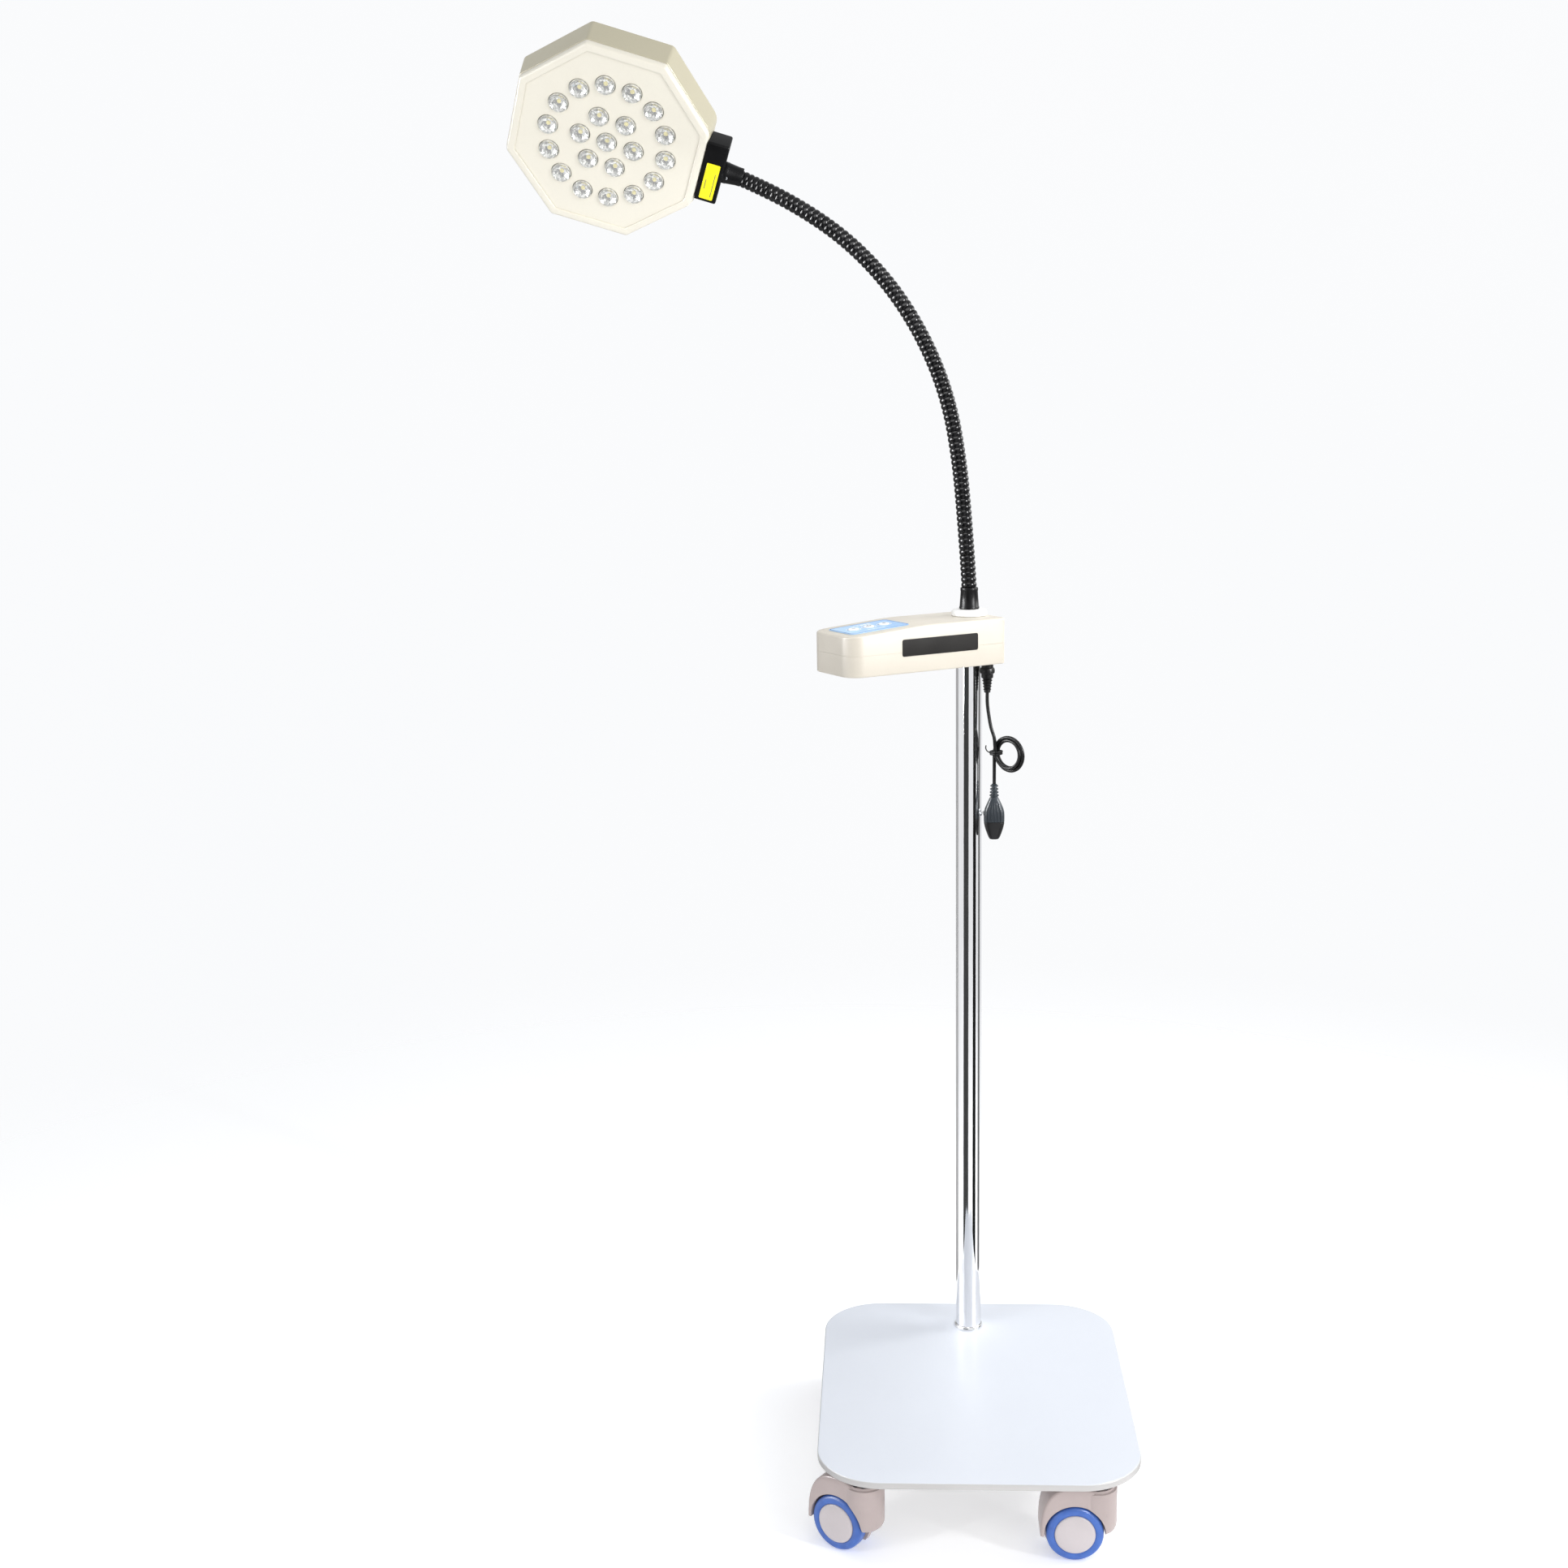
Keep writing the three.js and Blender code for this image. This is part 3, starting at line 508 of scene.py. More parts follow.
def rectangle(x, y, inset=0.0, r=1.0, steps=6):
    """The outline of a round-cornered rectangle, moved inwards by inset."""
    hx, hy = x / 2 - inset, y / 2 - inset
    return filleted([(-hx, -hy), (hx, -hy), (hx, hy), (-hx, hy)], max(r - inset, 0.05), steps)


def pad(x, y, z0, z1, r=1.0, edge=0.3, steps=6):
    """A low rounded block centred on Z, with a quarter-round upper edge."""
    rings = [lifted(rectangle(x, y, 0, r, steps), z0)]
    rings += [lifted(rectangle(x, y, inset, r, steps), z1 - drop) for inset, drop in rounding(edge, 3)]
    return loft(rings)


def tube_along(points, radii, sides=20, reference=Vector((0, 1, 0))):
    """A round tube that follows points, with a radius for each."""
    rings = []
    count = len(points)
    for i, p in enumerate(points):
        ahead = (points[min(i + 1, count - 1)] - points[max(i - 1, 0)]).normalized()
        side = ahead.cross(reference).normalized()
        up = side.cross(ahead)
        r = radii[i] if isinstance(radii, (list, tuple)) else radii
        rings.append([p + (side * math.cos(TURN * k / sides) + up * math.sin(TURN * k / sides)) * r
                      for k in range(sides)])
    return loft(rings)


def at(x, y, z):
    return Matrix.Translation((x, y, z))


def spun(degrees, axis):
    return Matrix.Rotation(math.radians(degrees), 4, axis)


def to_scene(local=None):
    """From a piece's own millimetres to the scene's metres."""
    return Matrix.Translation(ORIGIN) @ Matrix.Scale(MM, 4) @ (local or Matrix())


def make(name, shape, materials, body, local=None, stands_for=(), sharp=32):
    """A piece from a shape in millimetres, riding on a body."""
    if not isinstance(shape, Shape):
        shape = Shape().add(shape)
    place = to_scene(local)
    mesh = bpy.data.meshes.new(name)
    mesh.from_pydata([place @ v for v in shape.verts], [], shape.faces)
    for key in [materials] if isinstance(materials, str) else materials:
        mesh.materials.append(MAT[key])
    mesh.polygons.foreach_set("material_index", shape.slots)
    tidy_normals(mesh)
    mesh.polygons.foreach_set("use_smooth", [True] * len(mesh.polygons))
    mesh.set_sharp_from_angle(angle=math.radians(sharp))
    piece = placed(name, mesh)
    if body:
        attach(piece, body)
    if stands_for:
        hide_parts(*([stands_for] if isinstance(stands_for, str) else stands_for))
    return piece


def tidy_normals(mesh):
    """Turns every face of a mesh outwards."""
    b = bmesh.new()
    b.from_mesh(mesh)
    bmesh.ops.recalc_face_normals(b, faces=b.faces)
    b.to_mesh(mesh)
    b.free()


# --- mains lead ----------------------------------------
def coil_point(angle, radius, across):
    """A point of the coil: its angle, its radius and how far back along the coil's axis it is."""
    yaw = math.radians(COIL_YAW)
    out = Vector((math.cos(yaw), -math.sin(yaw), 0))
    back = Vector((math.sin(yaw), math.cos(yaw), 0))
    return (COIL_CENTRE + out * (radius * math.cos(angle)) + back * across
            + Vector((0, 0, radius * math.sin(angle))))


def catmull(points, steps):
    """A smooth curve through points."""
    out = []
    for i in range(len(points) - 1):
        p0 = points[max(i - 1, 0)]
        p1, p2 = points[i], points[i + 1]
        p3 = points[min(i + 2, len(points) - 1)]
        for k in range(steps):
            t = k / steps
            out.append(0.5 * ((2 * p1) + (p2 - p0) * t + (2 * p0 - 5 * p1 + 4 * p2 - p3) * t * t
                              + (3 * p1 - p0 - 3 * p2 + p3) * t ** 3))
    out.append(points[-1])
    return out


def cord_route():
    """Down from the gland, one and a half turns of the coil inside, as many outside, and to the plug."""
    x, y, mouth = GLAND
    entry = coil_point(math.pi, COIL_INNER, -COIL_PITCH - 3.2)
    top = Vector((entry.x, entry.y, COIL_CENTRE.z + 19.8))
    near = coil_point(math.pi, COIL_INNER, -COIL_PITCH - 1.4)
    near = Vector((near.x, near.y, COIL_CENTRE.z + 8))
    start = [Vector((x, y, mouth + 4)), Vector((x, y, mouth - 0.3)), Vector((x + 0.4, y, mouth - 16)),
             Vector((x + 4, y - 2.5, mouth - 40)), top, near]
    turns, per_turn = 1.5, 36
    coil = []
    for i in range(int(turns * per_turn)):
        s = i / per_turn
        coil.append(coil_point(math.pi + TURN * s, COIL_INNER, COIL_PITCH * (s - 1)))
    for i in range(int(turns * per_turn) + 1):
        s = i / per_turn
        rise = min(1.0, s / 0.5)
        rise = rise * rise * (3 - 2 * rise)
        across = 0.5 * COIL_PITCH if s < 0.5 else COIL_PITCH * (1 - s)
        coil.append(coil_point(TURN * s, COIL_INNER + (COIL_OUTER - COIL_INNER) * rise, across))
    last = coil_point(math.pi, COIL_OUTER, -COIL_PITCH / 2)
    tail = [Vector((last.x, last.y, z)) for z in (COIL_CENTRE.z - 10, COIL_CENTRE.z - 22, PLUG_TOP - 2)]
    return catmull(start + [coil[0]], 8)[:-1] + coil + catmull([coil[-1]] + tail, 8)[1:]


def make_cord():
    """The lead as a curve. Returns it with its first point and its length."""
    points = [to_scene() @ p for p in cord_route()]
    data = bpy.data.curves.new("mains_cord", "CURVE")
    data.dimensions = "3D"
    data.bevel_depth = CORD_R * MM
    data.bevel_resolution = 5
    data.use_fill_caps = True
    spline = data.splines.new("POLY")
    spline.points.add(len(points) - 1)
    for point, p in zip(spline.points, points):
        point.co = (*p, 1)
    data.materials.append(MAT["cord"])
    cord = placed("mains_cord", data)
    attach(cord, "stand")
    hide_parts("cord_lead", "cord_coil", "cord_tail")
    length = sum((b - a).length for a, b in zip(points, points[1:]))
    return cord, points[0], length


def make_gland():
    """The ribbed strain relief under the box, with its screwed nut."""
    x, y, mouth = GLAND
    profile = [(CORD_R + 0.2, 0), (3.5, 0), (3.9, 1)]
    for k in range(4):
        z = 2.5 + k * 3.6
        r = 3.7 + k * 0.42
        profile += [(r, z), (r + 0.9, z + 0.5), (r + 1.0, z + 1.9), (r + 0.1, z + 2.4)]
    profile += [(5.6, 17), (7.0, 18), (7.2, 19), (7.2, 22.5), (8.9, 24), (9.1, 27), (8.4, 29.5),
                (7.2, 30.5), (7.2, 35.2), (6.6, 35.7), (CORD_R + 0.2, 35.7)]
    boot = turned(profile, 40, loop=True)
    make("gland_boot", boot, "cord", "stand", at(x, y, mouth), "cord_gland")


def make_tie():
    """A strap wound twice round the coil's bundle, with a short tail."""
    local = at(*COIL_CENTRE) @ spun(-COIL_YAW, "Z")
    left, right = -COIL_OUTER - 2.9, -COIL_INNER + 2.9
    middle_x, middle_y = (left + right) / 2, -1.0
    width, height = right - left + 1.6, 14.2
    shape = Shape()
    for level, grow in ((-1.3, 0.0), (1.3, 0.3)):
        path = filleted([(-width / 2 - grow, -height / 2), (width / 2 + grow, -height / 2),
                         (width / 2 + grow, height / 2), (-width / 2 - grow, height / 2)], 3.4, 7)
        rings = []
        for i, p in enumerate(path):
            ahead = (path[(i + 1) % len(path)] - path[i - 1]).normalized()
            out = Vector((ahead.y, -ahead.x))
            ring = []
            for k in range(8):
                a = TURN * k / 8
                spot = p + out * (0.55 * math.cos(a))
                ring.append(Vector((spot.x + middle_x, spot.y + middle_y, level + 1.25 * math.sin(a))))
            rings.append(ring)
        shape.add(loft(rings, loop=True))
    ends = [Vector((middle_x - width / 2 - out, y, z))
            for out, y, z in ((0, -6, 0), (2.2, -9, 2.4), (2.6, -11, 6.0), (1.8, -11.5, 9.5))]
    shape.add(tube_along(catmull(ends, 5), 0.7, 8, Vector((1, 0, 0))))
    return make("coil_strap", shape, "cord", "stand", local, "cord_tie")


def plug_section(hx, hy, z, power=3.4, count=48):
    """A soft-cornered oval section of the plug."""
    ring = []
    for i in range(count):
        a = TURN * i / count
        c, s = math.cos(a), math.sin(a)
        ring.append(Vector((hx * math.copysign(abs(c) ** (2 / power), c),
                            hy * math.copysign(abs(s) ** (2 / power), s), z)))
    return ring


def make_plug():
    """An angled mains plug: ribbed boot, ridged grip, black base and two pins towards the back."""
    top = coil_point(math.pi, COIL_OUTER, -COIL_PITCH / 2)
    local = at(top.x, top.y, PLUG_TOP) @ spun(-PLUG_YAW, "Z")
    shape = Shape()
    boot = [circle(2.6, 0.0, 48), circle(3.3, -0.3, 48)]
    for k in range(4):
        z = -1.4 - k * 3.9
        r = 2.9 + k * 0.3
        boot += [circle(r, z, 48), circle(r + 1.7, z - 0.3, 48), circle(r + 1.8, z - 1.7, 48),
                 circle(r + 0.1, z - 2.0, 48)]
    grip = [(5.2, 5.0, -17.4), (6.2, 5.7, -19.0), (8.9, 6.6, -25.0), (11.0, 7.1, -30.0),
            (12.2, 7.4, -34.5), (12.5, 7.5, -40.0), (12.4, 7.5, -46.4)]
    shape.add(loft(boot + [plug_section(*g) for g in grip]))
    base = [(11.3, 6.7, -46.2), (12.1, 7.3, -46.8), (12.3, 7.4, -48.5), (11.0, 7.2, -54.5),
            (9.0, 6.5, -60.5), (7.0, 5.4, -65.6), (5.4, 4.2, -68.0), (3.0, 2.2, -68.8)]
    shape.add(loft([plug_section(*b) for b in base]), 1)
    for k in range(5):
        x = -7.6 + k * 3.8
        ridge = [Vector((x * 0.62, -5.9, -23)), Vector((x * 0.84, -6.9, -29)), Vector((x, -7.6, -35)),
                 Vector((x, -7.7, -42)), Vector((x * 0.98, -7.3, -46.0))]
        shape.add(tube_along(catmull(ridge, 4), 0.7, 8, Vector((1, 0, 0))))
    pin = turned([(2.4, 0), (2.4, 17.4), (2.1, 18.6), (1.2, 19), (0, 19)], 24)
    for x in (-9.5, 9.5):
        shape.add(pin, 2, at(x, 7, -41) @ spun(-90, "X"))
    return make("plug_body", shape, ("plug", "plug_black", "zinc"), "stand", local, "mains_plug")


# --- base and pole -------------------------------------
def make_plate():
    """The base plate, with its lower edge eased and its upper edge rounded."""
    levels = [(inset, PLATE_BOTTOM + drop) for inset, drop in rounding(1.2, 4)[::-1]]
    levels += [(inset, PLATE_TOP - drop) for inset, drop in rounding(1.8, 5)]
    rings = [lifted(rectangle(PLATE_X, PLATE_Y, inset, PLATE_R, 28), z) for inset, z in levels]
    make("plate_body", loft(rings), "plate", "stand", at(0, PLATE_CENTRE_Y, 0), "base_plate", 40)


def make_pole():
    """The polished tube and the ring round its foot."""
    inner = POLE_R - POLE_WALL
    z = PLATE_TOP + 0.3
    tube = [(inner, z), (POLE_R - 0.4, z), (POLE_R, PLATE_TOP + 0.8), (POLE_R, POLE_TOP - 0.5),
            (POLE_R - 0.4, POLE_TOP), (inner, POLE_TOP)]
    ring = [(POLE_R + 0.3, z), (18.0, z), (18.3, z + 0.5), (18.2, z + 1.8), (17.8, z + 3.0), (17.2, z + 3.8),
            (16.7, z + 4.1), (POLE_R + 0.3, z + 4.0)]
    make("pole_skin", turned(tube, 96, loop=True), "steel", "stand", None, "pole_tube")
    make("foot_ring_skin", turned(ring, 72, loop=True), "steel", "stand", None, "pole_foot_ring")


# --- casters -------------------------------------------
def caster_frame(corner):
    """A caster's place: its stem's axis on the floor, turned to the way it trails."""
    side = 1 if corner.endswith("right") else -1
    end = 1 if corner.startswith("rear") else -1
    x = side * (PLATE_X / 2 - CASTER_INSET_X)
    y = PLATE_CENTRE_Y + end * (PLATE_Y / 2 - CASTER_INSET_Y)
    return at(x, y, 0) @ spun(CASTER_YAW[corner], "Z")


def axle_frame(degrees):
    """The wheels' axle as a caster's Z, turned to one side or the other."""
    return at(-CASTER_TRAIL, 0, AXLE_Z) @ spun(degrees, "X")


def fender():
    """The arch over the twin wheels, swept from its front tip over the top and into the column."""
    rise = COLUMN_TOP - AXLE_Z
    steps = 40
    rings = []
    for k in range(steps + 1):
        a = math.radians(HOOD_FROM - HOOD_SWEEP * k / steps)
        inner = Vector(polar(WELL_R, a))
        level, upright = abs(math.cos(a)) / HOOD_REACH, max(math.sin(a), 0) / rise
        outer_r = (level ** HOOD_SQUARENESS + upright ** HOOD_SQUARENESS) ** (-1 / HOOD_SQUARENESS)
        outer = Vector(polar(outer_r, a))
        thick = (outer - inner).length
        out = (outer - inner).normalized()
        edge = min(3.2, thick * 0.6)
        lip = min(0.9, thick * 0.2)
        section = []
        for sign in (-1, 1):
            side = [(sign * (HOOD_HALF - inset), thick - drop) for inset, drop in rounding(edge, 5)]
            foot = [(sign * (HOOD_HALF - inset), drop) for inset, drop in rounding(lip, 2)][::-1]
            section += (foot + side) if sign < 0 else (foot + side)[::-1]
        ring = []
        for y, height in section:
            spot = inner + out * height
            ring.append(Vector((spot.x - CASTER_TRAIL, y, spot.y + AXLE_Z)))
        rings.append(ring)
    return loft(rings)


def web():
    """The plate between the wheels, from the axle to the arch, cut shorter underneath."""
    steps = 48
    outline = []
    for k in range(steps + 1):
        a = math.radians(-35 + 250 * k / steps)
        r = 34.4 if 0 < math.sin(a) or abs(math.cos(a)) > 0.8 else 30
        outline.append(Vector((r * math.cos(a) - CASTER_TRAIL, r * math.sin(a) + AXLE_Z)))
    return loft([[Vector((p.x, y, p.y)) for p in outline] for y in (-3.4, 3.4)])


def scallops():
    """The crown of ball-race teeth in the recess on top of the column."""
    teeth = 12
    tooth = turned([(0, 0), (2.4, 0.2), (2.8, 1.6), (2.4, 3.0), (0, 3.7)], 16)
    shape = Shape()
    for k in range(teeth):
        shape.add(tooth, 0, Matrix.Rotation(TURN * k / teeth, 4, "Z") @ at(17.6, 0, COLUMN_TOP - 3.9))
    return shape


def column():
    """The swivel column with the wheels' wells cut out of its foot."""
    top = COLUMN_TOP
    body = turned([
        (0, 29), (14.5, 29), (18.6, 30.2), (21.2, 32.6), (22.6, 36), (COLUMN_R, 40), (COLUMN_R, top - 8),
        (22.7, top - 7.1), (20.6, top - 6.5), (20.2, top - 5.3), (20.2, top - 3.9), (14.0, top - 3.7),
        (13.6, top - 5.5), (0, top - 5.5),
    ], 96)
    pieces = [body]
    verts, faces = turned([(0, WELL_IN), (WELL_R, WELL_IN), (WELL_R, 40), (0, 40)], 96)
    for degrees in (-90, 90):
        turn = axle_frame(degrees)
        pieces.append(([turn @ v for v in verts], faces))
    return subtract(*pieces)


def subtract(body, *tools):
    """A solid with others cut out of it."""
    objects = []
    for verts, faces in (body, *tools):
        mesh = bpy.data.meshes.new("work")
        mesh.from_pydata(verts, [], faces)
        tidy_normals(mesh)
        objects.append(placed("work", mesh))
    for tool in objects[1:]:
        cutter = objects[0].modifiers.new("cut", "BOOLEAN")
        cutter.operation = "DIFFERENCE"
        cutter.object = tool
    result = objects[0].evaluated_get(bpy.context.evaluated_depsgraph_get()).to_mesh()
    solid = [v.co.copy() for v in result.vertices], [list(p.vertices) for p in result.polygons]
    for work in objects:
        bpy.data.objects.remove(work)
    return solid


def make_hood(corner, place, foot):
    """A caster's hood, with its axle, and the ball race on top of it."""
    shape = Shape().add(fender()).add(web()).add(foot)
    boss = turned([(0, -3.9), (9, -3.9), (9, 3.9), (0, 3.9)], 32)
    axle = turned([(0, -17.4), (3.9, -17.4), (3.9, 17.4), (0, 17.4)], 24)
    shape.add(boss, 0, axle_frame(90))
    shape.add(axle, 0, axle_frame(90))
    body = f"swivel_{corner}"
    make(f"hood_{corner}", shape, "hood", body, place, f"caster_hood_{corner}", 38)
    make(f"race_{corner}", scallops(), "hood_dark", body, place, ())


def wheel_shape():
    """Tyre, rim groove and domed hub cap of one wheel, on Z with the caster's mid plane at 0."""
    tyre = [(22.9, 20.6), (23.9, 21.3), (26.2, 21.9), (28.8, 21.6), (30.9, 20.3), (32.0, 18.2),
            (WHEEL_R, 15.2), (WHEEL_R, 9.8), (32.0, 7.0), (30.8, 5.0), (29.4, 4.3), (22.9, 4.3)]
    hub = [(4.2, 4.4), (22.8, 4.4), (22.7, 20.2), (22.7, 21.2), (22.1, 22.0), (20.6, 22.7), (17.5, 23.4),
           (13.0, 24.0), (7.0, 24.4), (0, 24.5), (0, 18.4), (4.2, 18.4)]
    return Shape().add(turned(tyre, 96, loop=True), 0).add(turned(hub, 96), 1)


def make_casters():
    """Four casters, each with a hood and twin wheels."""
    foot = column()
    for corner in CASTER_YAW:
        place = caster_frame(corner)
        make_hood(corner, place, foot)
        for side, turn in (("outer", 90), ("inner", -90)):
            node = f"wheel_{corner}_{side}"
            spot = place @ axle_frame(turn)
            make(f"tyre_{corner}_{side}", wheel_shape(), ("tyre", "hub"), node, spot, node, 40)


# --- control box ---------------------------------------
def box_half_outline(inset, samples=26, arc=14):
    """One side of the box's outline, from the rear middle to the nose middle: x and half width."""
    half = BOX_W / 2 - inset
    rear, nose = BOX_REAR - inset, -BOX_NOSE + inset
    r_rear, r_nose = max(BOX_REAR_R - inset, 0.4), BOX_NOSE_R - inset
    points = [(rear, 0.0), (rear, half * 0.5)]
    for k in range(arc + 1):
        a = math.pi / 2 * k / arc
        points.append((rear - r_rear + r_rear * math.cos(a), half - r_rear + r_rear * math.sin(a)))
    x0, x1 = rear - r_rear, nose + r_nose
    for k in range(1, samples):
        points.append((x0 + (x1 - x0) * k / samples, half))
    for k in range(arc + 1):
        a = math.pi / 2 * k / arc
        points.append((nose + r_nose - r_nose * math.sin(a), half - r_nose + r_nose * math.cos(a)))
    points += [(nose, (half - r_nose) * 0.5), (nose, 0.0)]
    return points


def box_ring(inset, height):
    """The box's whole outline, at the height that a function gives for each x."""
    side = box_half_outline(inset)
    left = [Vector((x, y, height(x))) for x, y in side]
    right = [Vector((x, -y, height(x))) for x, y in side[1:-1]][::-1]
    return left + right


def box_top_z(x):
    """The top: level over the pole, then sloping down to the nose, with a soft knee."""
    slope = (BOX_TOP - BOX_NOSE_TOP) / (BOX_NOSE - SLOPE_START)
    knee = 9.0
    past = -SLOPE_START - x
    if past <= -knee:
        return BOX_TOP
    if past >= knee:
        return BOX_TOP - slope * past
    return BOX_TOP - slope * (past + knee) ** 2 / (4 * knee)


def ladder(ring):
    """Faces across a symmetric ring, from one long side to the other."""
    count = len(ring)
    side = count // 2 + 1
    faces = []
    for k in range(side - 1):
        a, b = k, k + 1
        c, d = (count - b) % count, (count - a) % count
        faces.append([i for n, i in enumerate([a, b, c, d]) if i not in [a, b, c, d][:n]])
    return faces


def box_shell(levels):
    """A closed skin from rings of inset and height, with both ends laid across from side to side."""
    rings = [box_ring(inset, height) for inset, height in levels]
    verts, faces = loft(rings, caps=False)
    count = len(rings[0])
    faces += [list(f)[::-1] for f in ladder(rings[0])]
    start = len(verts) - count
    faces += [[start + i for i in f] for f in ladder(rings[-1])]
    return verts, faces


def flat(z):
    return lambda x: z


def below_top(drop):
    return lambda x: box_top_z(x) - drop


def make_shells():
    """The control box's two halves. Returns the box's turn about the pole."""
    yaw = spun(BOX_YAW, "Z")
    lower = [(inset, flat(BOX_BOTTOM + drop)) for inset, drop in rounding(1.8, 4)[::-1]]
    lower += [(0, flat(BOX_SPLIT - 0.06)), (0.1, flat(BOX_SPLIT)), (BOX_WALL, flat(BOX_SPLIT)),
              (BOX_WALL, flat(BOX_BOTTOM + BOX_WALL))]
    make("case_lower", box_shell(lower), "ivory", "stand", yaw, "box_lower_shell")
    upper = [(BOX_WALL, below_top(BOX_WALL)), (BOX_WALL, flat(BOX_SPLIT + 0.1)),
             (0.1, flat(BOX_SPLIT + 0.1)), (0, flat(BOX_SPLIT + 0.16))]
    upper += [(inset, below_top(drop)) for inset, drop in rounding(2.2, 6)]
    make("case_upper", box_shell(upper), "ivory", "stand", yaw, "box_upper_shell", 40)
    return yaw


def slope_frame():
    """The keypad's place on the sloping part of the box's top."""
    slope = math.atan2(BOX_TOP - BOX_NOSE_TOP, BOX_NOSE - SLOPE_START)
    middle = SLOPE_START + 12 + KEYPAD_X / 2
    z = BOX_TOP - math.tan(slope) * (middle - SLOPE_START)
    return at(-middle, 0, z) @ Matrix.Rotation(-slope, 4, "Y")


def sheet_with_holes(outline, holes, z0, z1):
    """A flat sheet between two heights, with round holes through it."""
    loops = [outline] + holes
    points = [p for loop in loops for p in loop]
    count = len(points)
    flat_loops = [[Vector((p.x, p.y, 0)) for p in loop] for loop in loops]
    tris = tessellate_polygon(flat_loops)
    verts = [Vector((p.x, p.y, z0)) for p in points] + [Vector((p.x, p.y, z1)) for p in points]
    faces = [list(t) for t in tris] + [[count + i for i in t] for t in tris]
    start = 0
    for loop in loops:
        n = len(loop)
        for i in range(n):
            a, b = start + i, start + (i + 1) % n
            faces.append([a, b, count + b, count + a])
        start += n
    return verts, faces


def round_hole(x, y, r, sides=40):
    """A circle's outline on a flat sheet."""
    angles = [TURN * i / sides for i in range(sides)]
    return [Vector((x + r * math.cos(a), y + r * math.sin(a))) for a in angles]


def arc_band(r, width, start, end, z0, z1, steps=28):
    """A flat curved stroke, for the printed symbols."""
    ring = []
    for k in range(steps + 1):
        a = math.radians(start + (end - start) * k / steps)
        ring.append(polar(r - width / 2, a))
    for k in range(steps + 1):
        a = math.radians(end + (start - end) * k / steps)
        ring.append(polar(r + width / 2, a))
    return loft([[Vector((x, y, z)) for x, y in ring] for z in (z0, z1)])


def make_keypad(yaw):
    """The printed film and its three keys: dimmer, power and brighter."""
    place = yaw @ slope_frame()
    keys = (-KEY_PITCH, 0, KEY_PITCH)
    holes = [round_hole(x, 0, KEY_R + 0.6) for x in keys]
    sheet = sheet_with_holes(rectangle(KEYPAD_X, KEYPAD_Y, 0, 6, 10), holes, 0.2, 1.0)
    make("keypad_film", sheet, "keypad", "stand", place, "keypad_overlay")
    border = Shape()
    border.add(sheet_with_holes(rectangle(KEYPAD_X - 1, KEYPAD_Y - 1, 0, 5.5, 10),
                                [rectangle(KEYPAD_X - 4, KEYPAD_Y - 4, 0, 4.5, 10)], 1.0, 1.08), 1)
    for x in keys:
        outer, inner = [round_hole(x, 0, KEY_R + grow) for grow in (2.6, 1.7)]
        border.add(sheet_with_holes(outer, [inner], 1.0, 1.08))
    for k in range(5):
        border.add(pad(3.2, 1.6 + k * 1.3, 1.0, 1.1, 0.5, 0.03), 0, at(-10 + k * 5, 17, 0))
        border.add(pad(4.4, 1.8, 1.0, 1.1, 0.6, 0.03), 0, at(-10 + k * 5, -17, 0))
    make("keypad_print", border, ("key", "keypad_line"), "stand", place, ())
    cap = turned([(0, -6), (4, -6), (4, 0.9), (KEY_R, 0.9), (KEY_R, 1.5), (KEY_R - 0.2, 1.95),
                  (KEY_R - 0.8, 2.25), (KEY_R - 1.6, 2.3), (3.5, 2.1), (0, 2.0)], 48)
    for name, x in zip(("key_dimmer", "key_power", "key_brighter"), keys):
        shape = Shape().add(cap)
        if name == "key_power":
            shape.add(arc_band(2.6, 0.7, 125, 415, 2.0, 2.26), 1)
            shape.add(pad(0.7, 2.6, 2.0, 2.3, 0.3, 0.05), 1, at(0, 2.4, 0))
        else:
            shape.add(pad(5.0, 0.8, 2.0, 2.26, 0.3, 0.05), 1)
        if name == "key_brighter":
            shape.add(pad(0.8, 5.0, 2.0, 2.27, 0.3, 0.05), 1)
        make(f"{name}_cap", shape, ("key", "print"), name, place @ at(x, 0, 0), name)


def make_box_details(yaw):
    """White cap round the neck, plain dark badge on the side, and the screws underneath."""
    z = BOX_TOP + 0.3
    cap = [(6.3, z), (CAP_R - 0.6, z), (CAP_R, z + 0.6), (CAP_R, z + 4.2), (CAP_R - 0.7, z + 5.6),
           (CAP_R - 2.0, z + 6.9), (CAP_R - 4.0, z + 7.6), (13.0, z + 7.7), (6.3, z + 7.7)]
    make("cap_disc", turned(cap, 80, loop=True), "white", "stand", None, "neck_cap", 40)
    side = at(-71.5, -BOX_W / 2 - 0.02, 992) @ spun(90, "X")
    make("side_badge", pad(106, 20, 0, 0.5, 2.4, 0.25, 8), "badge", "stand", yaw @ side, ())
    screw = turned([(0, 0), (3.4, 0), (3.6, -0.5), (3.0, -1.2), (1.6, -1.2), (1.4, -0.5), (0, -0.5)], 24)
    screws = Shape()
    for x, y in ((-40, 34), (-40, -34), (-165, 34), (-165, -34)):
        screws.add(screw, 0, at(x, y, BOX_BOTTOM))
    make("case_screws", screws, "zinc", "stand", yaw, ())


# --- gooseneck -----------------------------------------
def neck_points():
    """The neck's joints, from the lowest to the lamp head."""
    points = [Vector((0, 0, NECK_Z))]
    for angle in LINK_ANGLES:
        a = math.radians(angle)
        points.append(points[-1] + Vector((-LINK_L * math.sin(a), 0, LINK_L * math.cos(a))))
    return points


def bend_curve(start, joint, end, count=160):
    """A smooth bend from start to end, with its tangents meeting at the joint."""
    return [start * (1 - t) ** 2 + joint * (2 * t * (1 - t)) + end * t ** 2
            for t in [k / count for k in range(count + 1)]]


